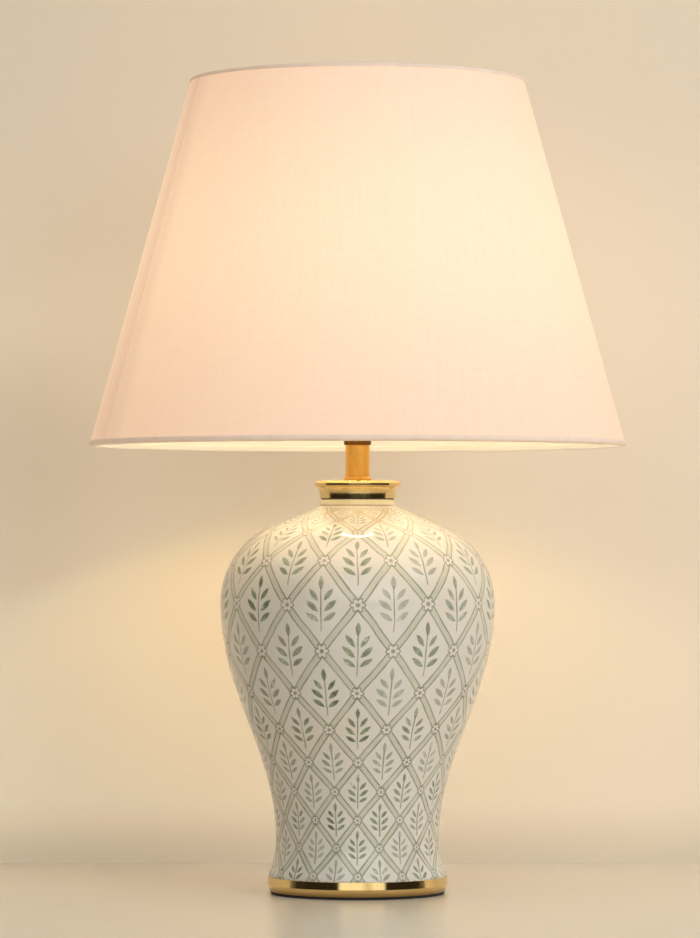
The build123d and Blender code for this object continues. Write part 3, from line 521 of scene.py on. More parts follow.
def turned_brass(shader, tint, roughness, line_depth):
    """Brass with fine turning lines round the axis, a little tarnished in spots, and painted shade that
    darkens it down at the table.
    """
    brass = bpy.context.scene.lamp_brass
    x, y, z = shader.split(shader.place())
    lines = shader.noise(shader.join(level_length(x, y) * 2600, 0.0, z * 2600), 1.0, 3.0, 0.7)
    stain = shader.noise(shader.join(x, y, z * 0.3), 55.0, 4.0, 0.6)
    table_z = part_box("brass_base")[0].z
    # Painted shade: the foot darkens towards the table
    painted_table_shade = 1 - z.smooth(table_z, table_z + brass.knuckle)
    tarnish_and_shade = ((stain - 0.54) * 2.0).math("MINIMUM", 0.45).math("MAXIMUM", painted_table_shade * 0.95)
    shader.surface(
        Base_Color=shader.mix(tarnish_and_shade, getattr(brass, tint), brass.tarnish_shade_tint),
        Metallic=1.0,
        Roughness=roughness + lines * 0.08 + tarnish_and_shade * 0.25,
        Normal=shader.bump(lines, line_depth, 0.35),
    )


# Grained finishes: light tone, dark tone, scale of the grain, roughness, depth and metallic share
grained_finishes = {
    "black felt": ((0.035, 0.034, 0.034), (0.010, 0.010, 0.011), 1500.0, 0.93, 0.0004, 0.0),
    "zinc steel": ((0.66, 0.66, 0.64), (0.44, 0.45, 0.45), 420.0, 0.34, 0.00003, 1.0),
    "black rubber": ((0.032, 0.032, 0.032), (0.018, 0.018, 0.018), 900.0, 0.62, 0.00008, 0.0),
    "grey foam": ((0.14, 0.14, 0.14), (0.05, 0.05, 0.05), 1200.0, 0.88, 0.0003, 0.0),
    "fibre board": ((0.17, 0.14, 0.10), (0.08, 0.06, 0.045), 600.0, 0.80, 0.0001, 0.0),
    "dark moulding": ((0.045, 0.035, 0.028), (0.018, 0.014, 0.012), 300.0, 0.36, 0.00004, 0.0),
    "bare aluminium": ((0.84, 0.84, 0.83), (0.66, 0.66, 0.66), 700.0, 0.34, 0.00003, 1.0),
    "white moulding": ((0.84, 0.84, 0.82), (0.76, 0.76, 0.74), 500.0, 0.46, 0.00003, 0.0),
    "white enamel": ((0.84, 0.83, 0.79), (0.74, 0.73, 0.69), 260.0, 0.36, 0.00005, 0.0),
}


def grained(shader, light, dark, scale, roughness, depth, metallic):
    """Surface of two tones in a fine grain, which also makes its bump and its gloss uneven."""
    place = shader.place()
    grain = shader.noise(place, scale, 4.0, 0.65)
    cloud = shader.noise(place, scale / 12)
    tone = (grain * 0.6 + cloud * 0.4).smooth(0.3, 0.7)
    shader.surface(
        Base_Color=shader.mix(tone, dark, light),
        Metallic=metallic,
        Roughness=roughness + (grain - 0.5) * 0.2,
        Normal=shader.bump(grain, depth, 0.6),
    )


def opal_globe(shader):
    """Opal globe, a little brighter in places, and the light of the lamp."""
    fittings = bpy.context.scene.lamp_fittings
    cloud = shader.noise(shader.place(), 60.0)
    light = fittings.light
    shader.surface(
        Base_Color=fittings.globe,
        Roughness=0.34 + cloud * 0.1,
        Emission_Color=shader.mix(cloud, light, (light[0], light[1] * 1.04, light[2] * 1.1)),
        Emission_Strength=fittings.light_level,
    )


def weave(shader):
    """Height of a plain weave on the shade's chart, and its uneven yarn."""
    around_threads, up_threads = 1500, 400
    around, up, _ = shader.split(shader.chart("shade"))
    slub_up = shader.noise(shader.join(around * around_threads * 0.5, up * 9, 0.3), 1.0)
    slub_around = shader.noise(shader.join(around * 60, up * up_threads * 0.5, 4.7), 1.0)
    warp = abs((around * around_threads * math.pi).math("SINE"))
    weft = abs((up * up_threads * math.pi).math("SINE"))
    slub = slub_up + slub_around
    return warp.math("MAXIMUM", weft) * 0.5 + slub * 0.5, slub


def shade_linen(shader):
    """Off-white linen on a backing, lit from inside: brightest level with the bulb, dimmer at the lap."""
    shade = bpy.context.scene.lamp_shade
    height, slub = weave(shader)
    around = shader.split(shader.chart("shade"))[0]
    z = shader.split(shader.place())[2]
    low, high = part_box("bulb_globe")
    bright_z = (low.z + high.z) / 2 + 0.02
    far = abs(z - bright_z).smooth(0.0, 0.17)
    whole_turn = math.tau + shade.lap
    to_seam = around.math("MINIMUM", 1 - around)
    doubled = to_seam.below(shade.lap / whole_turn, 0.002)
    # A painted dimmer band of glow reaches past the lap on each side of the seam
    dim_band = to_seam.below((shade.lap + shade.dim_band_spread) / whole_turn, 0.012)
    # A painted shade line along the lap's free edge, darker in colour and in glow
    free_edge = (1 - around).below(0.0008, 0.0008)
    seam = (1 - dim_band * 0.11) * (1 - doubled * 0.04) * (1 - free_edge * 0.16)
    level = (1.05 - far * 0.22) * seam * (0.93 + slub * 0.07)
    glow = shade.glow
    pink = (glow[0], glow[1] * 0.90, glow[2] * 0.95)
    tint = shader.mix(far * 0.6 + doubled * 0.4, glow, pink)
    cloth = shader.mix(slub.smooth(0.7, 1.3), dimmed(shade.linen, 0.95), shade.linen)
    shader.surface(
        # Painted shade line at the lap's free edge
        Base_Color=shader.mix(free_edge * 0.35, cloth, dimmed(shade.linen, 0.6)),
        Roughness=0.82 + slub * 0.05,
        Sheen_Weight=0.15,
        Emission_Color=shader.mix(level * 0.9, (0.0, 0.0, 0.0), tint),
        Emission_Strength=shade.glow_level,
        Normal=shader.bump(height, 0.00018, 0.5),
    )


def shade_lining(shader):
    """Smooth backing inside the shade, with a trace of the weave behind it and a faint painted glow."""
    shade = bpy.context.scene.lamp_shade
    height, slub = weave(shader)
    shader.surface(
        Base_Color=shader.mix(slub.smooth(0.7, 1.3), dimmed(shade.lining, 0.96), shade.lining),
        Roughness=0.55 + slub * 0.05,
        Emission_Color=shade.lining_glow,
        Emission_Strength=0.10,
        Normal=shader.bump(height, 0.00006, 0.4),
    )


def shade_binding(shader):
    """Tape on the edges of the shade, ribbed along its length, with a painted glow; inside it takes the
    lining's colour and a fainter painted glow.
    """
    shade = bpy.context.scene.lamp_shade
    place = shader.place()
    x, y, z = shader.split(place)
    turn = y.math("ARCTAN2", x)
    rib = abs((turn * 900).math("SINE")) * 0.5 + abs((z * 5200).math("SINE")) * 0.5
    wear = shader.noise(place, 90.0, 3.0)
    low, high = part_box("shade_panel")
    cone = high.x - (z - low.z) * ((high.x - shade.top_radius) / (high.z - low.z))
    inside = (cone - level_length(x, y)).smooth(0.002, 0.004)
    outer = shader.mix(wear.smooth(0.35, 0.65), dimmed(shade.binding, 0.93), shade.binding)
    shader.surface(
        Base_Color=shader.mix(inside, outer, shade.lining),
        Emission_Color=shader.mix(inside, shade.binding_glow, dimmed(shade.lining_glow, 0.5)),
        Emission_Strength=0.20,
        Roughness=0.80 + rib * 0.06,
        Normal=shader.bump(rib + wear * 0.3, 0.00015, 0.6),
    )


def table_top(shader):
    """Pale lacquered table top."""
    floor = bpy.context.scene.lamp_stage.floor
    cloud = shader.noise(shader.place(), 3.0, 3.0)
    shader.surface(
        Base_Color=shader.mix(cloud, dimmed(floor, 0.98), floor),
        Roughness=0.22 + cloud * 0.02,
    )


def backdrop_paint(shader):
    """Matt wall paint on the front of the backdrop, whose back is clear.

    It carries painted light on the left and in the pool of light under the shade's edge, and painted shade
    along its foot.
    """
    stage = bpy.context.scene.lamp_stage
    place = shader.place()
    x, y, z = shader.split(place)
    cloud = shader.noise(place, 2.2, 4.0)
    # Painted shade along the foot of the wall, darker towards the floor
    foot = z.smooth(0.0, 0.055)
    tint = shader.mix(cloud, dimmed(stage.wall, 0.985), stage.wall)
    tint = shader.mix(foot, dimmed(stage.wall, 0.84), tint)

    path = shader.node("ShaderNodeLightPath")
    shown = path.other("Is Camera Ray")
    for ray in ("Is Glossy Ray", "Is Transmission Ray"):
        shown = shown.math("MAXIMUM", path.other(ray))
    outwards = level_length(x, y)
    pool = (stage.pool_top - z - outwards * stage.pool_slope).smooth(-0.014, 0.014)
    shaded = (1 - pool) * outwards.smooth(0.33, 0.40) * (1 - z.smooth(0.35, 0.45))
    # Painted light on the left of the wall, fading upwards, weaker in the painted shade beside the pool and
    # along the foot
    lift = shown * (1 - x.smooth(-0.35, 0.35) * 0.85) * (1 - z.smooth(0.42, 0.66))
    lift = lift * (1 - shaded * 0.45) * (0.5 + foot * 0.5)
    pool_middle = 0.27
    near = 1 - level_length(x, z - pool_middle).smooth(0.10, 0.32)
    glow = shader.mix(pool * near, stage.wall_painted_light, stage.wall_pool)
    paint = shader.node("ShaderNodeBsdfPrincipled", {}, {
        "Base Color": tint, "Roughness": 1.0, "Specular IOR Level": 0.0, "Emission Strength": 1.0,
        "Emission Color": shader.mix(lift, (0.0, 0.0, 0.0), glow)})
    clear = shader.node("ShaderNodeBsdfTransparent")
    behind = shader.node("ShaderNodeNewGeometry", output="Backfacing")
    either = shader.node("ShaderNodeMixShader", {}, {0: behind, 1: paint, 2: clear})
    shader.node("ShaderNodeOutputMaterial", {}, {"Surface": either})


other_finishes = {
    "painted glaze": painted_glaze,
    "opal globe": opal_globe,
    "shade linen": shade_linen,
    "shade lining": shade_lining,
    "shade binding": shade_binding,
    "table top": table_top,
    "backdrop paint": backdrop_paint,
}


def finish(name):
    """The material of a name, made once."""
    made = bpy.data.materials.get(name)
    if made:
        return made
    made = bpy.data.materials.new(name)
    shader = Shader(made)
    if name in brass_finishes:
        turned_brass(shader, *brass_finishes[name])
    elif name in grained_finishes:
        grained(shader, *grained_finishes[name])
    else:
        other_finishes[name](shader)
    return made


def arc_points(centre, radius, start, end, steps):
    """Points of an arc in a section; angles from the outward direction, in radians."""
    turns = [start + (end - start) * k / steps for k in range(steps + 1)]
    return [Vector((centre[0] + radius * math.cos(t), centre[1] + radius * math.sin(t))) for t in turns]


def curve_points(start, first_handle, last_handle, end, steps):
    """Points of a cubic curve in a section."""
    corners = [Vector(corner) for corner in (start, first_handle, last_handle, end)]
    points = []
    for k in range(steps + 1):
        t = k / steps
        weights = ((1 - t) ** 3, 3 * t * (1 - t) ** 2, 3 * t * t * (1 - t), t ** 3)
        points.append(sum((corner * weight for corner, weight in zip(corners, weights)), Vector((0, 0))))
    return points


def line_points(start, end, steps):
    """Points of a straight stretch, its ends included."""
    return [Vector(start).lerp(Vector(end), k / steps) for k in range(steps + 1)]


def rounded(corners, closed=True, steps=5):
    """Points through corners (across, up) or (across, up, rounding): each rounding becomes an arc.

    A point beside each arc keeps the shading of the straight stretch flat.
    """
    points = []
    for index, corner in enumerate(corners):
        here = Vector(corner[:2])
        rounding = corner[2] if len(corner) > 2 else 0.0
        at_end = not closed and index in (0, len(corners) - 1)
        if rounding == 0.0 or at_end:
            points.append(here)
            continue
        back = Vector(corners[index - 1][:2]) - here
        onward = Vector(corners[(index + 1) % len(corners)][:2]) - here
        half = back.angle(onward) / 2
        reach = rounding / math.tan(half)
        inwards = (back.normalized() + onward.normalized()).normalized()
        centre = here + inwards * (rounding / math.sin(half))
        first = here + back.normalized() * reach
        last = here + onward.normalized() * reach
        guard_before = min(0.3 * rounding, 0.2 * (back.length - reach))
        guard_after = min(0.3 * rounding, 0.2 * (onward.length - reach))
        points.append(first + back.normalized() * guard_before)
        for k in range(steps + 1):
            points.append(centre + (first - centre).slerp(last - centre, k / steps).normalized() * rounding)
        points.append(last + onward.normalized() * guard_after)
    return points


def ring_section(inner, outer, low, high, inner_round=0.0, outer_round=0.0):
    """Section of a ring or a tube with rounded edges."""
    return rounded([(inner, low, inner_round), (outer, low, outer_round), (outer, high, outer_round),
                    (inner, high, inner_round)])


def mesh_of(name, form):
    """Mesh of a finished bmesh."""
    mesh = bpy.data.meshes.new(name)
    form.to_mesh(mesh)
    form.free()
    return mesh


def lathe(name, section, segments, rows=None):
    """Mesh turned round the Z axis from a closed section; rows give its chart, one for each point."""
    form = bmesh.new()
    chart = form.loops.layers.uv.new("glaze") if rows else None
    turns = [math.pi / 2 + math.tau * k / segments for k in range(segments)]
    rings = []
    for radius, height in section:
        around = turns if radius > 1e-7 else turns[:1]
        rings.append([form.verts.new((radius * math.cos(t), radius * math.sin(t), height)) for t in around])
    total = len(rings)
    for index, ring in enumerate(rings):
        after = (index + 1) % total
        above = rings[after]
        if len(ring) == 1 and len(above) == 1:
            continue
        for k in range(segments):
            corners = [ring[k % len(ring)], ring[(k + 1) % len(ring)],
                       above[(k + 1) % len(above)], above[k % len(above)]]
            face = form.faces.new(list(dict.fromkeys(corners)))
            if chart and len(face.loops) == 4:
                levels = (rows[index], rows[index], rows[after], rows[after])
                for loop, step, level in zip(face.loops, (k, k + 1, k + 1, k), levels):
                    loop[chart].uv = (step / segments, level)
    bmesh.ops.recalc_face_normals(form, faces=form.faces)
    return mesh_of(name, form)


def lay(mesh, y, z):
    """Lay a turned mesh down along -Y, from a place on."""
    mesh.transform(Matrix.Translation((0, y, z)) @ Matrix.Rotation(math.pi / 2, 4, "X"))
    return mesh


def add_block(form, place, size):
    """Add a block to a bmesh."""
    corners = bmesh.ops.create_cube(form, size=1.0)["verts"]
    matrix = Matrix.Translation(place) @ Matrix.Diagonal((*size, 1))
    bmesh.ops.transform(form, matrix=matrix, verts=corners)


def settled(name, form):
    """Mesh of a bmesh with corners and faces sorted by place, since a bevel's own order varies."""
    corners = sorted(form.verts, key=lambda corner: corner.co[:])
    ranks = {corner: rank for rank, corner in enumerate(corners)}
    faces = []
    for face in form.faces:
        ring = [ranks[corner] for corner in face.verts]
        first = ring.index(min(ring))
        faces.append(ring[first:] + ring[:first])
    mesh = bpy.data.meshes.new(name)
    mesh.from_pydata([corner.co for corner in corners], [], sorted(faces))
    form.free()
    return mesh


def joined(name, meshes):
    """One mesh of several."""
    form = bmesh.new()
    for mesh in meshes:
        form.from_mesh(mesh)
    return mesh_of(name, form)


def new_piece(name, mesh):
    """Object of a mesh, in the scene."""
    piece = bpy.data.objects.new(name, mesh)
    bpy.context.scene.collection.objects.link(piece)
    return piece


def sharpen(piece, limit=math.radians(35)):
    """Keep edges crisp where a piece turns by more than an angle."""
    form = bmesh.new()
    form.from_mesh(piece.data)
    for edge in form.edges:
        if len(edge.link_faces) == 2:
            edge.smooth = edge.calc_face_angle(0.0) < limit
    form.to_mesh(piece.data)
    form.free()


def dress(piece, coat, body, node, crisp=True):
    """Give a piece its finish and smooth faces, hang it on its body and hide the imported part that it
    stands for.

    Without a coat it keeps the materials that it has.
    """
    if crisp:
        sharpen(piece)
    if coat:
        piece.data.materials.clear()
        piece.data.materials.append(finish(coat))
    piece.data.polygons.foreach_set("use_smooth", [True] * len(piece.data.polygons))
    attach(piece, body)
    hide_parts(node)
    return piece


def turned(name, section, segments, coat, body, node, crisp=True):
    """A dressed piece turned from a section."""
    return dress(new_piece(name, lathe(name, section, segments)), coat, body, node, crisp)


def bake(piece):
    """Turn a piece and its modifiers into a plain mesh."""
    graph = bpy.context.evaluated_depsgraph_get()
    mesh = bpy.data.meshes.new_from_object(piece.evaluated_get(graph))
    mesh.name = piece.name
    piece.modifiers.clear()
    piece.data = mesh
    return piece


def cut(piece, cutter_mesh):
    """Cut a mesh out of a piece."""
    cutter = new_piece("cutter", cutter_mesh)
    difference = piece.modifiers.new("cut", "BOOLEAN")
    difference.object = cutter
    difference.solver = "EXACT"
    bake(piece)
    bpy.data.objects.remove(cutter)


class Grower(Nodes):
    """A Geometry Nodes tree with named inputs, which ends in Realize Instances and Set Material."""

    def __init__(self, name, inputs):
        super().__init__(bpy.data.node_groups.new(name, "GeometryNodeTree"))
        face = self.tree.interface
        for label, kind in {"Geometry": "Geometry", **inputs, "Material": "Material"}.items():
            face.new_socket(label, in_out="INPUT", socket_type="NodeSocket" + kind)
        face.new_socket("Geometry", in_out="OUTPUT", socket_type="NodeSocketGeometry")
        self.start = self.tree.nodes.new("NodeGroupInput")

    def input(self, label):
        """An input of the tree."""
        return Value(self, self.start.outputs[label])

    def circle(self, points, radius, height=0.0):
        """Level circle round the axis."""
        flat = self.node("GeometryNodeCurvePrimitiveCircle", {}, {"Resolution": points, "Radius": radius})
        rise = self.join(z=height)
        return self.node("GeometryNodeTransform", {}, {"Geometry": flat, "Translation": rise})

    def wire(self, path, sides, radius, caps):
        """Round wire along a curve."""
        return self.node("GeometryNodeCurveToMesh", {}, {
            "Curve": path, "Profile Curve": self.circle(sides, radius), "Fill Caps": caps})

    def finish(self, geometry):
        """End the tree in real geometry, smooth and with its material."""
        real = self.node("GeometryNodeRealizeInstances", {}, {0: geometry})
        smooth = self.node("GeometryNodeSetShadeSmooth", {}, {0: real})
        coat = self.input("Material")
        coated = self.node("GeometryNodeSetMaterial", {}, {"Geometry": smooth, "Material": coat})
        self.node("NodeGroupOutput", {}, {0: coated})
        return self

    def grow(self, name, start, values):
        """Object made by this tree from a starting mesh and the values of its inputs."""
        piece = new_piece(name, start)
        grower = piece.modifiers.new("grow", "NODES")
        grower.node_group = self.tree
        for item in self.tree.interface.items_tree:
            if item.item_type == "SOCKET" and item.in_out == "INPUT" and item.name in values:
                grower[item.identifier] = values[item.name]
        return bake(piece)


def path_mesh(name, points):
    """Mesh of edges along a line of points (across, up) over the X axis."""
    mesh = bpy.data.meshes.new(name)
    mesh.from_pydata([(x, 0.0, z) for x, z in points], [(k, k + 1) for k in range(len(points) - 1)], [])
    return mesh


def wire_tree():
    """Tree that lays round wire along the edges of its mesh."""
    tree = Grower("wire", {"Radius": "Float", "Sides": "Int"})
    path = tree.node("GeometryNodeMeshToCurve", {}, {0: tree.input("Geometry")})
    return tree.finish(tree.wire(path, tree.input("Sides"), tree.input("Radius"), True))


def spider_tree():
    """Tree of a wire ring with arms: the mesh's edges give one arm, copied round the axis."""
    tree = Grower("spider", {"Arms": "Int", "First Turn": "Float", "Arm Radius": "Float",
                             "Ring Radius": "Float", "Ring Height": "Float", "Ring Wire": "Float"})
    wire_sides, ring_points = 20, 192
    path = tree.node("GeometryNodeMeshToCurve", {}, {0: tree.input("Geometry")})
    arm = tree.wire(path, wire_sides, tree.input("Arm Radius"), True)
    posts = tree.node("GeometryNodeMeshLine", {"mode": "OFFSET"},
                      {"Count": tree.input("Arms"), "Offset": (0.0, 0.0, 0.0)})
    turn = tree.input("First Turn") + tree.node("GeometryNodeInputIndex") * (math.tau / tree.input("Arms"))
    arms = tree.node("GeometryNodeInstanceOnPoints", {}, {
        "Points": posts, "Instance": arm, "Rotation": tree.join(z=turn)})
    circle = tree.circle(ring_points, tree.input("Ring Radius"), tree.input("Ring Height"))
    ring = tree.wire(circle, wire_sides, tree.input("Ring Wire"), False)
    return tree.finish(tree.node("GeometryNodeJoinGeometry", {}, {"Geometry": [arms, ring]}))


def panel_tree():
    """Tree that rolls a flat strip into a cone whose outer end rides over its inner end."""
    labels = ("Bottom Radius", "Top Radius", "Bottom Height", "Top Height",
              "Seam", "Lap", "Lap Rise", "Lap Run")
    tree = Grower("rolled panel", dict.fromkeys(labels, "Float"))
    low_radius, high_radius, low_z, high_z, seam, lap, lap_rise, lap_run = map(tree.input, labels)
    strip = tree.node("GeometryNodeMeshGrid", {}, {
        "Size X": 1.0, "Size Y": 1.0, "Vertices X": 365, "Vertices Y": 25})
    x, y, _ = tree.split(tree.node("GeometryNodeInputPosition"))
    around = x + 0.5
    up = y + 0.5
    travel = around * (lap + math.tau)
    turn = travel + seam
    lift = travel.smooth(math.tau - lap_run, math.tau) * lap_rise
    radius = low_radius + up * (high_radius - low_radius) + lift
    height = low_z + up * (high_z - low_z)
    rolled = tree.join(radius * turn.math("COSINE"), radius * turn.math("SINE"), height)
    kept = tree.node("GeometryNodeStoreNamedAttribute", {"data_type": "FLOAT2", "domain": "CORNER"},
                     {"Geometry": strip, "Name": "shade", "Value": tree.join(around, up)})
    return tree.finish(tree.node("GeometryNodeSetPosition", {}, {"Geometry": kept, "Position": rolled}))


def ribs_tree():
    """Tree that sets a row of small ribs round the axis of a turned piece."""
    tree = Grower("ribs", {"Count": "Int", "Radius": "Float", "Height": "Float", "Rib Size": "Vector"})
    circle = tree.circle(tree.input("Count"), tree.input("Radius"), tree.input("Height"))
    posts = tree.node("GeometryNodeCurveToPoints", {"mode": "EVALUATED"}, {"Curve": circle})
    rib = tree.node("GeometryNodeMeshCube", {}, {"Size": tree.input("Rib Size")})
    ribs = tree.node("GeometryNodeInstanceOnPoints", {}, {
        "Points": posts, "Instance": rib, "Rotation": posts.other("Rotation")})
    both = [ribs, tree.input("Geometry")]
    return tree.finish(tree.node("GeometryNodeJoinGeometry", {}, {"Geometry": both}))


class LAMP_OT_ceramic_body(bpy.types.Operator):
    """Turn the ceramic body, with the chart that its painting follows"""

    bl_idname = "lamp.ceramic_body"
    bl_label = "Ceramic body"

    def execute(self, context):
        body = context.scene.lamp_body
        low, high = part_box("ceramic_body")
        foot_z, rim_z, belly_radius = low.z, high.z, high.x
        waist_z = foot_z + body.waist_height
        belly_z = foot_z + body.belly_height
        flare_turn = math.asin((body.waist_height - body.foot_band) / body.flare_radius)
        foot_radius = body.waist_radius + body.flare_radius * (1 - math.cos(flare_turn))
        bend = (body.waist_radius + body.flare_radius, waist_z)
        shoulder_turn = math.pi / 2 - body.shoulder_pitch
        shoulder_centre = (belly_radius - body.shoulder_radius, belly_z)

        side = arc_points(bend, body.flare_radius, math.pi + flare_turn, math.pi, 14)
        side += curve_points((body.waist_radius, waist_z), (body.waist_radius, waist_z + body.waist_handle),
                             (belly_radius, belly_z - body.belly_handle), (belly_radius, belly_z), 64)[1:]
        side += arc_points(shoulder_centre, body.shoulder_radius, 0.0, shoulder_turn, 36)[1:]
        shoulder_end = side[-1]
        root_z = shoulder_end.y + (shoulder_end.x - body.neck_radius) * math.tan(body.shoulder_pitch)
        side += line_points(shoulder_end, (body.neck_radius, root_z), 24)[1:-2]
        neck_bore = body.neck_radius - body.wall
        neck = rounded([side[-1], (body.neck_radius, root_z, body.neck_root),
                        (body.neck_radius, rim_z, body.rim_edge), (neck_bore, rim_z, body.rim_edge),
                        (neck_bore, root_z - body.wall)], closed=False)[1:]
        ring_bore = foot_radius - body.foot_ring
        foot = rounded([(ring_bore, foot_z), (foot_radius, foot_z, body.foot_edge), side[0]], closed=False)
        outside = foot[:-1] + side + neck
        floor_z = foot_z + body.floor
        floor_corner = 0.004
        recess_z = foot_z + body.foot_recess
        inside = [(point.x - body.wall, point.y) for point in reversed(side)
                  if point.y > floor_z + floor_corner]
        inside += [(body.drain, floor_z), (body.drain, recess_z), (ring_bore, recess_z)]

        rows = [0.0]
        for before, after in zip(outside, outside[1:]):
            wide = (before.x + after.x) / 2 * math.tau / body.columns
            rows.append(rows[-1] + (after - before).length / wide / body.cell_aspect)
        first_row = rows[len(foot)]
        rows = [row - first_row for row in rows] + [-1.0] * len(inside)
        piece = new_piece("glazed_body", lathe("ceramic_body", outside + inside, 288, rows))
        dress(piece, "painted glaze", "lamp", "ceramic_body", crisp=False)
        return {"FINISHED"}


class LAMP_OT_brass_foot(bpy.types.Operator):
    """Turn the brass foot, its felt pad and the grommet in its back"""

    bl_idname = "lamp.brass_foot"
    bl_label = "Brass foot"

    def execute(self, context):
        brass = context.scene.lamp_brass
        low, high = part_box("brass_base")
        low_z, rim_z, radius = low.z, high.z, high.x
        seat_z = rim_z - brass.seat_depth
        plate_z = seat_z - brass.foot_plate
        knuckle_z = low_z + brass.knuckle
        bottom = radius - brass.undercut
        wall = brass.foot_wall
        low_edge, knuckle_edge, rim_edge = 0.0003, 0.0006, 0.0002
        section = rounded([
            (bottom, low_z, low_edge),
            (radius + brass.foot_swell, knuckle_z, knuckle_edge),
            (radius - brass.rim_lean, rim_z, rim_edge),
            (brass.seat_radius, rim_z, rim_edge),
            (brass.seat_radius, seat_z),
            (brass.rod_hole, seat_z),
            (brass.rod_hole, plate_z),
            (radius - wall, plate_z),
            (radius - wall, knuckle_z),
            (bottom - wall, low_z, low_edge),
        ])
        foot = new_piece("brass_foot", lathe("brass_foot", section, 256))
        front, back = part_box("cord_grommet")
        inlet_z = (front.z + back.z) / 2
        hole_reach, hole_spare = 0.02, 0.005
        hole = lathe("inlet", ring_section(0, brass.inlet_radius, 0, hole_reach), 48)
        cut(foot, lay(hole, back.y + hole_spare, inlet_z))
        dress(foot, "polished brass", "lamp", "brass_base")

        outer = (back.x - front.x) / 2
        bore_edge, outer_edge = 0.0004, 0.0005
        bore = outer - brass.grommet_wall
        ring = ring_section(bore, outer, 0, back.y - front.y, bore_edge, outer_edge)
        grommet = lay(lathe("grommet", ring, 64), back.y, inlet_z)
        dress(new_piece("grommet", grommet), "black rubber", "lamp", "cord_grommet", crisp=False)

        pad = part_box("felt_pad")[1]
        pad_low_edge, pad_edge = 0.0006, 0.0004
        section = rounded([(0, 0), (pad.x, 0, pad_low_edge), (pad.x, pad.z, pad_edge), (0, pad.z)])
        turned("felt", section, 160, "black felt", "lamp", "felt_pad", crisp=False)
        return {"FINISHED"}


class LAMP_OT_cap_and_stem(bpy.types.Operator):
    """Turn the brass cap on the neck and the stem above it"""

    bl_idname = "lamp.cap_and_stem"
    bl_label = "Cap and stem"

    def execute(self, context):
        brass = context.scene.lamp_brass
        low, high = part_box("vase_cap")
        spigot_z, top_z, lip = low.z, high.z, high.x
        low_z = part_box("neck_gasket")[1].z
        under_z = top_z - brass.cap_lip
        inner_z = top_z - brass.cap_wall
        foot, groove, hole = brass.cap_foot, brass.cap_groove, brass.rod_hole
        flared = foot + brass.cap_flare
        straight_z = low_z + brass.cap_straight
        rise = under_z - groove - straight_z
        bend = (brass.cap_flare ** 2 + rise ** 2) / (2 * brass.cap_flare)
        turn = math.asin(rise / bend)
        side = line_points((foot, low_z), (foot, straight_z), 4)[:-1]
        side += arc_points((foot + bend, straight_z), bend, math.pi, math.pi - turn, 14)
        fillet = 0.0002
        lip_corners = [side[-2], (*side[-1], fillet), (flared - groove, under_z - groove / 3, fillet),
                       (lip, under_z, brass.cap_edge), (lip, top_z, brass.cap_bead), (hole, top_z)]
        lip_points = rounded(lip_corners, closed=False, steps=8)[1:]
        bore = brass.spigot - brass.cap_wall
        inner = [(hole, inner_z), (bore, inner_z), (bore, spigot_z), (brass.spigot, spigot_z),
                 (brass.spigot, inner_z), (flared - brass.cap_wall, inner_z),
                 (foot - brass.cap_seat, low_z)]
        section = side[:-1] + lip_points + inner
        turned("brass_cap", section, 192, "polished brass", "lamp", "vase_cap")

        low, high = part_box("stem_tube")
        lower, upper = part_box("stem_foot_ring"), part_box("stem_top_ring")
        for name, node, radius, start, end, coat in (
            ("stem_lower_ring", "stem_foot_ring", lower[1].x, lower[0].z, low.z, "satin brass"),
            # The upper ring is brass painted dark: painted shade under the shade's rim
            ("stem_upper_ring", "stem_top_ring", upper[1].x, high.z, upper[1].z, "shaded brass"),
        ):
            section = ring_section(hole, radius, start, end, 0.0, brass.ring_edge)
            turned(name, section, 96, coat, "lamp", node)
        section = ring_section(high.x - brass.stem_wall, high.x, low.z, high.z, 0.0, fillet)
        turned("stem", section, 96, "satin brass", "lamp", "stem_tube")
        return {"FINISHED"}


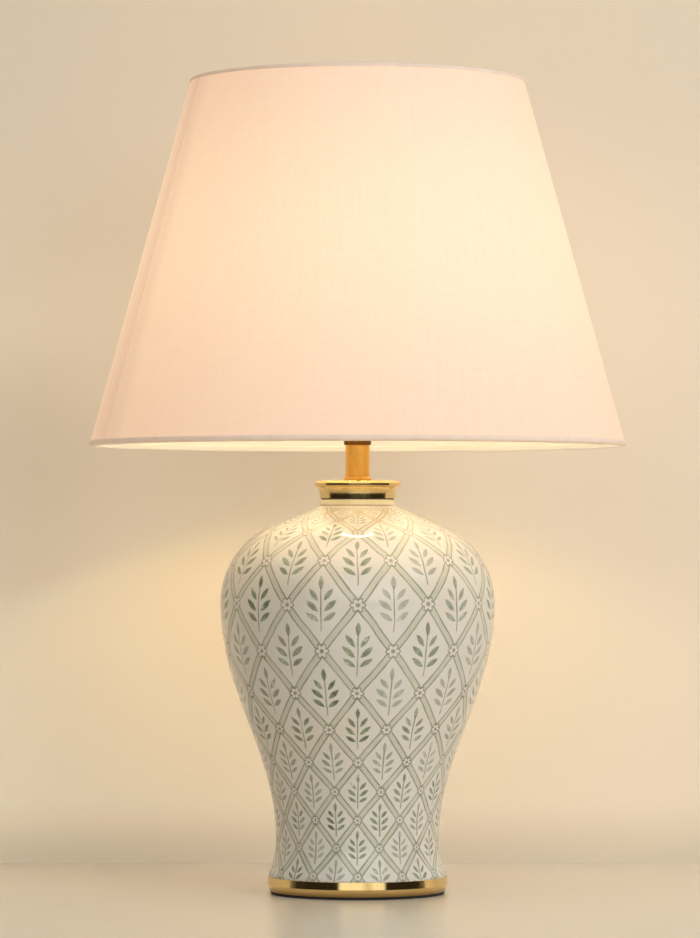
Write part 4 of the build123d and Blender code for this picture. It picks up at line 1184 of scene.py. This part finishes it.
class LAMP_OT_bow(bpy.types.Operator):
    """Bend the bow's wire, with its eye and the two sleeves on its legs"""

    bl_idname = "lamp.bow"
    bl_label = "Bow"

    def execute(self, context):
        fit = context.scene.lamp_fittings
        low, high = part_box("harp")
        sleeve_low, sleeve_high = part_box("harp_sleeve_right")
        half_width = high.x - fit.wire
        leg = (sleeve_low.x + sleeve_high.x) / 2
        top_z = high.z - fit.eye_height / 2
        joint = next(joint for joint in frame["joints"] if joint["name"] == "harp_sleeve_right_lift")
        lift = joint["range_m"][1]
        turn = math.atan2(half_width - leg, fit.flare_height)
        leg_top = sleeve_high.z + lift + fit.leg_spare + fit.bend * math.tan(turn / 2)
        arch_z = top_z - half_width
        right = rounded([(leg, low.z), (leg, leg_top, fit.bend),
                         (half_width, leg_top + fit.flare_height, fit.bend), (half_width, arch_z)],
                        closed=False, steps=12)
        arch = arc_points((0.0, arch_z), half_width, 0.0, math.pi, 64)
        left = [Vector((-point.x, point.y)) for point in reversed(right)]
        wire = wire_tree().grow("bow_wire", path_mesh("bow_wire", right[:-1] + arch + left[1:]), {
            "Radius": fit.wire, "Sides": 24, "Material": finish("lacquered brass")})
        eye_edge = 0.0007
        section = ring_section(fit.stud_tail, fit.eye_radius, top_z - fit.eye_height / 2,
                               top_z + fit.eye_height / 2, 0.0, eye_edge)
        bow = new_piece("bow", joined("bow", [wire.data, lathe("eye", section, 64)]))
        bpy.data.objects.remove(wire)
        dress(bow, "lacquered brass", "lamp", "harp", crisp=False)

        edge = fit.sleeve_edge
        fillet, play = 0.0003, 0.0001
        bore = fit.wire + play
        start, end = sleeve_low.z, sleeve_high.z
        for name in ("left", "right"):
            node = f"harp_sleeve_{name}"
            low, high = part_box(node)
            outer = (high.x - low.x) / 2
            section = rounded([(across, up, fillet) for across, up in (
                (bore, start), (outer - edge, start), (outer, start + edge),
                (outer, end - edge), (outer - edge, end), (bore, end))])
            sleeve = lathe(f"sleeve_{name}", section, 64)
            sleeve.transform(Matrix.Translation(((low.x + high.x) / 2, 0, 0)))
            piece = new_piece(f"sleeve_{name}", sleeve)
            dress(piece, "lacquered brass", node, node, crisp=False)
        return {"FINISHED"}


class LAMP_OT_finial(bpy.types.Operator):
    """Turn the finial that holds the shade down"""

    bl_idname = "lamp.finial"
    bl_label = "Finial"

    def execute(self, context):
        fit = context.scene.lamp_fittings
        low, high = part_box("finial")
        low_z, top_z, ball = low.z, high.z, high.x
        base, neck = fit.finial_base, fit.finial_neck
        base_height, step_height, neck_height, ball_height = 0.0024, 0.0027, 0.0040, 0.0052
        step, flare, ball_foot = neck + 0.0006, neck + 0.0008, neck + 0.0002
        edge, soft, hollow = 0.0005, 0.0008, 0.0004
        section = rounded([(fit.stud_hole, low_z), (base, low_z, edge), (base, low_z + base_height, soft),
                           (step, low_z + step_height, hollow), (neck, low_z + neck_height, soft),
                           (flare, low_z + ball_height)], closed=False)
        turn = math.acos(ball_foot / ball)
        near_pole = math.pi / 2 - 0.02
        section += arc_points((0, top_z - ball), ball, -turn, near_pole, 40)
        bore_z = low_z + fit.finial_bore
        section += [(0, top_z), (0, bore_z), (fit.stud_hole, bore_z)]
        turned("finial_knob", section, 96, "lacquered brass", "finial", "finial")
        return {"FINISHED"}


class LAMP_OT_holder(bpy.types.Operator):
    """Make the lamp holder's two shells and its switch key"""

    bl_idname = "lamp.holder"
    bl_label = "Lamp holder"

    def execute(self, context):
        fit = context.scene.lamp_fittings
        self.cap(fit, context.scene.lamp_brass.rod_hole)
        self.shell(fit)
        self.switch_key(fit.key_half)
        return {"FINISHED"}

    def cap(self, fit, hole):
        """Lower shell: a hub on the rod, a dome and a ribbed skirt round the upper shell."""
        low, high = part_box("socket_cap")
        cap_low, skirt_z, radius = low.z, high.z, high.x
        ledge_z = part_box("socket_shell")[0].z
        hub = fit.holder_hub
        hub_z = cap_low + fit.hub_height
        inside = radius - fit.skirt_wall
        pull_out, pull_up, pull_down = 0.0045, 0.0012, 0.0055
        dome = curve_points((hub, hub_z), (hub + pull_out, hub_z + pull_up), (radius, ledge_z - pull_down),
                            (radius, ledge_z), 18)
        hub_edge, skirt_edge = 0.0006, 0.0003
        hub_top, skirt_foot = hub_z - 0.0004, ledge_z + 0.0012
        lower = rounded([(hole, cap_low), (hub, cap_low, hub_edge), (hub, hub_top)], closed=False)
        upper = rounded([(radius, skirt_foot), (radius, skirt_z, skirt_edge), (inside, skirt_z, skirt_edge),
                         (inside, ledge_z)], closed=False)
        ledge_bore = radius - 0.0041
        cap_section = lower + dome + upper + [(ledge_bore, ledge_z), (hole, hub_z)]
        rib, sunk, rib_share = 0.0007, 0.0002, 0.62
        holder_cap = ribs_tree().grow("holder_cap", lathe("holder_cap_shell", cap_section, 128), {
            "Count": 60, "Radius": radius - sunk, "Height": (ledge_z + skirt_z) / 2,
            "Rib Size": (rib, rib, (skirt_z - ledge_z) * rib_share), "Material": finish("lacquered brass")})
        dress(holder_cap, None, "lamp", "socket_cap")

    def shell(self, fit):
        """Upper shell: a tube with a groove, a beaded rim and a notch for the switch."""
        low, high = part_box("socket_shell")
        ledge_z, rim_z = low.z, high.z
        wall = fit.shell_radius
        bore = wall - fit.shell_wall
        bead = high.x - wall
        groove_z = ledge_z + fit.shell_groove
        edge, soft = 0.0002, 0.0004
        depth, half, width = 0.0003, 0.0006, 0.0012
        section = rounded([(bore, ledge_z), (wall, ledge_z, edge), (wall, groove_z, soft),
                           (wall - depth, groove_z + half, soft), (wall, groove_z + width, soft),
                           (wall, rim_z - 2 * bead - soft)], closed=False)
        section += arc_points((wall, rim_z - bead), bead, -math.pi / 2, math.pi / 2, 10)
        section.append((bore, rim_z))
        shell = new_piece("holder_shell", lathe("holder_shell", section, 128))
        key_low, key_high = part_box("switch_knob")
        key_z = (key_low.z + key_high.z) / 2
        notch, reach, spare = fit.notch, 0.03, 0.001
        cut(shell, lay(lathe("notch", ring_section(0, notch, 0, reach), 40), 0, key_z))
        way = bmesh.new()
        way_height = key_z - ledge_z + spare
        add_block(way, (0, -reach / 2, key_z - way_height / 2), (2 * notch, reach, way_height))
        cut(shell, mesh_of("way", way))
        dress(shell, "lacquered brass", "lamp", "socket_shell")

    def switch_key(self, half):
        """Flat key with a rounded end and a round stem, with grip ribs on both faces."""
        front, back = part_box("switch_knob")
        key_z = (front.z + back.z) / 2
        stem = (back.x - front.x) / 2
        paddle = (back.z - front.z) / 2
        shaft, stem_length, stem_shown = 0.0017, 0.0052, 0.005
        stem_front = back.y - stem_shown
        outline = arc_points((front.y + paddle, key_z), paddle, math.pi / 2, math.pi * 1.5, 24)
        outline += [(stem_front, key_z - paddle), (stem_front, key_z + paddle)]
        form = bmesh.new()
        face = form.faces.new([form.verts.new((-half, y, z)) for y, z in outline])
        grown = bmesh.ops.extrude_face_region(form, geom=[face])
        moved = [item for item in grown["geom"] if isinstance(item, bmesh.types.BMVert)]
        bmesh.ops.translate(form, verts=moved, vec=(2 * half, 0, 0))
        bmesh.ops.recalc_face_normals(form, faces=form.faces)
        sharp = [edge for edge in form.edges if edge.calc_face_angle(0.0) > 1.0]
        edge, stem_edge = 0.0006, 0.0004
        bmesh.ops.bevel(form, geom=sharp, offset=edge, segments=3, affect="EDGES", profile=0.5)
        ribs = bmesh.new()
        rib, first_rib, rib_gap, middle_rib, shorter = 0.0006, 0.0030, 0.0013, 0.0052, 0.0002
        for sign in (-1, 1):
            for step in range(5):
                add_block(ribs, (sign * half, front.y + first_rib + step * rib_gap, key_z),
                          (rib, rib, middle_rib - abs(step - 2) * shorter))
        tube = lathe("key_stem", ring_section(shaft, stem, 0, stem_length, 0.0, stem_edge), 48)
        meshes = [settled("paddle", form), mesh_of("ribs", ribs), lay(tube, back.y, key_z)]
        piece = new_piece("switch_key", joined("switch_key", meshes))
        dress(piece, "dark moulding", "switch", "switch_knob")


class LAMP_OT_bulb(bpy.types.Operator):
    """Turn the bulb's housing and its opal globe"""

    bl_idname = "lamp.bulb"
    bl_label = "Bulb"

    def execute(self, context):
        fit = context.scene.lamp_fittings
        low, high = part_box("bulb_globe")
        globe = high.x
        globe_z = high.z - globe
        drop = math.asin((globe_z - low.z) / globe)
        bore = globe - fit.globe_wall
        near_pole = math.pi / 2 - 0.01
        section = arc_points((0, globe_z), globe, -drop, near_pole, 48)
        section += [(0, globe_z + globe), (0, globe_z + bore)]
        section += arc_points((0, globe_z), bore, near_pole, -drop, 24)
        turned("opal", section, 96, "opal globe", "bulb", "bulb_globe", crisp=False)

        low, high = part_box("bulb_housing")
        low_z, high_z, edge = low.z, high.z, high.x
        collar = fit.bulb_collar
        collar_z, edge_z = low_z + 0.0012, high_z - 0.0006
        low_handle = (collar + 0.001, low_z + 0.017)
        high_handle = (edge - 0.0055, high_z - 0.0105)
        collar_edge, lid_edge = 0.0005, 0.0003
        side = curve_points((collar, collar_z), low_handle, high_handle, (edge, edge_z), 30)[1:]
        start = rounded([(0, low_z), (collar, low_z, collar_edge), side[0]], closed=False)[:-1]
        section = start + side + [(edge - lid_edge, high_z), (0, high_z)]
        turned("bulb_shell", section, 96, "white moulding", "bulb", "bulb_housing")
        return {"FINISHED"}


class LAMP_OT_shade(bpy.types.Operator):
    """Roll the shade's panel, bind its edges and set its wire rings and spider"""

    bl_idname = "lamp.shade"
    bl_label = "Shade"

    def execute(self, context):
        shade = context.scene.lamp_shade
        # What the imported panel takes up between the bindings, its seam included
        room = 0.0009
        low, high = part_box("shade_panel")
        top_z, bottom_radius = high.z, high.x
        fall = bottom_radius - shade.top_radius
        bottom_z = low.z + room * fall / math.hypot(fall, top_z - low.z)
        lean = math.atan2(fall, top_z - bottom_z)
        slope = math.hypot(fall, top_z - bottom_z)

        def on_slope(along, depth):
            """Place in the section: a way up the cone from its lower edge, and a depth into the shade."""
            return (bottom_radius - along * math.sin(lean) - depth * math.cos(lean),
                    bottom_z + along * math.cos(lean) - depth * math.sin(lean))

        panel = self.panel(shade, bottom_radius, bottom_z, top_z)
        wire = shade.ring_wire
        ring_depth = room + shade.slip + wire
        tapes = self.bindings(shade, slope, ring_depth, on_slope)

        self.rings(context, on_slope(wire, ring_depth), on_slope(slope - wire, ring_depth))
        return {"FINISHED"}

    def panel(self, shade, bottom_radius, bottom_z, top_z):
        """Fabric on its backing, rolled to a cone."""
        panel = panel_tree().grow("shade_cloth", bpy.data.meshes.new("strip"), {
            "Bottom Radius": bottom_radius, "Top Radius": shade.top_radius, "Bottom Height": bottom_z,
            "Top Height": top_z, "Seam": shade.seam_angle, "Lap": shade.lap, "Lap Rise": shade.lap_rise,
            "Lap Run": shade.lap_run, "Material": finish("shade linen")})
        panel.data.materials.append(finish("shade lining"))
        backing = panel.modifiers.new("backing", "SOLIDIFY")
        backing.thickness = shade.thickness
        backing.offset = -1.0
        backing.material_offset = 1
        return dress(bake(panel), None, "shade", "shade_panel")

    def bindings(self, shade, slope, ring_depth, on_slope):
        """Tapes that fold round both edges of the panel and the wire rings behind them."""
        slip = shade.slip
        tape_depth = ring_depth + shade.ring_wire + slip
        lined = tape_depth + shade.tape
        out = -slip - shade.tape
        edge, fold, inner_edge, inner_fold = 0.00025, 0.0014, 0.0001, 0.0008
        # Each binding as places on the slope: way up, depth and rounding
        lower = ((shade.bottom_tape, out, edge), (out, out, fold), (out, lined, fold),
                 (shade.inner_tape, lined, edge), (shade.inner_tape, tape_depth, inner_edge),
                 (-slip, tape_depth, inner_fold), (-slip, -slip, inner_fold),
                 (shade.bottom_tape, -slip, inner_edge))
        upper = ((slope - shade.top_tape, out, edge), (slope - out, out, fold), (slope - out, lined, edge),
                 (slope + slip, lined, 0.0), (slope + slip, -slip, inner_fold),
                 (slope - shade.top_tape, -slip, inner_edge))
        tapes = []
        for name, places, node in (("lower_binding", lower, "shade_bottom_trim"),
                                   ("upper_binding", upper, "shade_top_trim")):
            section = rounded([(*on_slope(along, depth), rounding) for along, depth, rounding in places])
            tapes.append(turned(name, section, 256, "shade binding", "shade", node))
        return tapes

    def rings(self, context, lower, upper):
        """Lower wire ring, and the spider: an upper ring whose arms drop to a hub on the stud."""
        shade = context.scene.lamp_shade
        bore = context.scene.lamp_fittings.stud_hole
        hub_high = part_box("finial")[0].z
        hub_low = hub_high - shade.hub_height
        hub_middle = (hub_low + hub_high) / 2
        arm_inset, bore_edge, hub_edge = 0.0027, 0.0003, 0.0005
        arm_root = shade.hub - arm_inset
        arm = rounded([(arm_root, hub_middle), (shade.arm_flat, hub_middle, shade.arm_bend), upper],
                      closed=False, steps=12)
        spokes = spider_tree().grow("spokes", path_mesh("spoke", arm), {
            "Arms": shade.arms, "First Turn": math.pi / 2, "Arm Radius": shade.arm_wire,
            "Ring Radius": upper[0], "Ring Height": upper[1], "Ring Wire": shade.ring_wire,
            "Material": finish("white enamel")})
        hub = lathe("hub", ring_section(bore, shade.hub, hub_low, hub_high, bore_edge, hub_edge), 64)
        spider = new_piece("spider", joined("spider", [spokes.data, hub]))
        bpy.data.objects.remove(spokes)
        dress(spider, "white enamel", "shade", "shade_spider", crisp=False)
        section = arc_points(lower, shade.ring_wire, 0.0, math.tau, 20)[:-1]
        turned("lower_ring", section, 192, "white enamel", "shade", "shade_bottom_ring",
               crisp=False)


class LAMP_OT_fittings(bpy.types.Operator):
    """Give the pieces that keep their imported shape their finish"""

    bl_idname = "lamp.fittings"
    bl_label = "Inner fittings"

    def execute(self, context):
        coats = {
            "zinc steel": ("base_washer", "base_lock_washer", "base_nut", "threaded_rod",
                           "socket_set_screw", "terminal_screws", "switch_shaft"),
            "grey foam": ("foot_gasket", "neck_gasket"),
            "fibre board": ("socket_liner",),
            "dark moulding": ("socket_core",),
            "bare aluminium": ("screw_shell", "bulb_cap", "bulb_board"),
            "contact brass": ("centre_contact", "bulb_contact"),
            "lacquered brass": ("harp_stud", "harp_saddle"),
        }
        for coat, nodes in coats.items():
            for node in nodes:
                piece = frame["nodes"][node]
                piece.data.materials.clear()
                piece.data.materials.append(finish(coat))
        return {"FINISHED"}


class LAMP_OT_stage(bpy.types.Operator):
    """Set the floor, the backdrop, the lights and the camera"""

    bl_idname = "lamp.stage"
    bl_label = "Stage"

    def execute(self, context):
        stage = context.scene.lamp_stage
        context.scene.view_settings.view_transform = "Standard"
        far, high, back = 9, 4, stage.wall_distance
        self.flat("floor", [(-far, -far, 0), (far, -far, 0), (far, far, 0), (-far, far, 0)], "table top")
        self.flat("backdrop", [(-high, back, 0), (high, back, 0), (high, back, high), (-high, back, high)],
                  "backdrop paint")
        self.area_light("key light", place=(2.2, -2.4, 1.15), aim_z=0.30, size=(2.2, 1.6),
                        power=stage.key_power, shows=False)
        self.area_light("high light", place=(2.16, -1.45, 2.3), aim_z=0.25, size=(0.7, 0.6),
                        power=stage.high_power, shows=True)
        self.room(context.scene)
        self.camera(context.scene, stage)
        return {"FINISHED"}

    def flat(self, name, corners, coat):
        """A flat piece of the stage."""
        mesh = bpy.data.meshes.new(name)
        mesh.from_pydata(corners, [], [(0, 1, 2, 3)])
        mesh.materials.append(finish(coat))
        new_piece(name, mesh)

    def area_light(self, name, place, aim_z, size, power, shows):
        """A soft box that the picture itself doesn't show; it may show in the gloss of the pieces."""
        light = bpy.data.lights.new(name, "AREA")
        light.shape = "RECTANGLE"
        light.size, light.size_y = size
        light.energy = power
        light.color = bpy.context.scene.lamp_stage.light_tint
        lamp = bpy.data.objects.new(name, light)
        self.point(lamp, place, (0.0, 0.0, aim_z))
        lamp.visible_camera = False
        lamp.visible_glossy = shows

    def point(self, item, place, target):
        """Put a light or a camera at a place and turn it to a target."""
        item.location = place
        item.rotation_euler = (Vector(target) - Vector(place)).to_track_quat("-Z", "Y").to_euler()
        bpy.context.scene.collection.objects.link(item)

    def room(self, scene):
        """A room for the brass to mirror: pale ceiling, a window in front and darker sides."""
        dark, window_light = (0.025, 0.02, 0.014), (1.3, 1.27, 1.20)
        rear, ceiling = (0.55, 0.48, 0.38), (0.50, 0.48, 0.45)
        scene.world = bpy.data.worlds.new("room")
        shader = Shader(scene.world)
        x, y, z = shader.split(shader.node("ShaderNodeTexCoord", output="Generated"))
        level = level_length(x, y).math("MAXIMUM", 0.001)
        ahead = (0 - y) / level
        window = (ahead + x / level * 0.10).smooth(0.855, 0.895) * z.smooth(0.045, 0.075)
        walls = shader.mix(window, dark, window_light)
        walls = shader.mix(1 - ahead.smooth(-0.35, 0.15), walls, rear)
        light = shader.node("ShaderNodeBackground", {}, {
            "Color": shader.mix(z.smooth(0.35, 0.75), walls, ceiling), "Strength": 1.0})
        shader.node("ShaderNodeOutputWorld", {}, {"Surface": light})

    def camera(self, scene, stage):
        """A camera at the photograph's viewing angle."""
        data = bpy.data.cameras.new("camera")
        data.lens = stage.lens
        data.sensor_width = 36.0
        data.clip_end = 100.0
        scene.camera = bpy.data.objects.new("camera", data)
        self.point(scene.camera, (stage.camera_side, -stage.camera_distance, stage.camera_height),
                   (stage.camera_side, 0.0, stage.aim_height))


pieces_in_order = (
    LAMP_OT_stage,
    LAMP_OT_ceramic_body,
    LAMP_OT_brass_foot,
    LAMP_OT_cap_and_stem,
    LAMP_OT_bow,
    LAMP_OT_finial,
    LAMP_OT_holder,
    LAMP_OT_bulb,
    LAMP_OT_shade,
    LAMP_OT_fittings,
)


class LAMP_PT_panel(bpy.types.Panel):
    """Lists the pieces of the lamp"""

    bl_idname = "LAMP_PT_panel"
    bl_label = "Table lamp"
    bl_space_type = "VIEW_3D"
    bl_region_type = "UI"
    bl_category = "Lamp"

    def draw(self, context):
        for operator in pieces_in_order:
            self.layout.operator(operator.bl_idname)


settings_groups = {
    "lamp_body": BodySettings,
    "lamp_brass": BrassSettings,
    "lamp_shade": ShadeSettings,
    "lamp_fittings": FittingSettings,
    "lamp_stage": StageSettings,
}


def register():
    for name, group in settings_groups.items():
        bpy.utils.register_class(group)
        setattr(bpy.types.Scene, name, PointerProperty(type=group))
    for operator in (*pieces_in_order, LAMP_PT_panel):
        bpy.utils.register_class(operator)


def unregister():
    for operator in reversed((*pieces_in_order, LAMP_PT_panel)):
        bpy.utils.unregister_class(operator)
    for name, group in settings_groups.items():
        delattr(bpy.types.Scene, name)
        bpy.utils.unregister_class(group)


def main():
    register()
    for operator in pieces_in_order:
        family, action = operator.bl_idname.split(".")
        getattr(getattr(bpy.ops, family), action)()


if __name__ == "__main__":
    main()
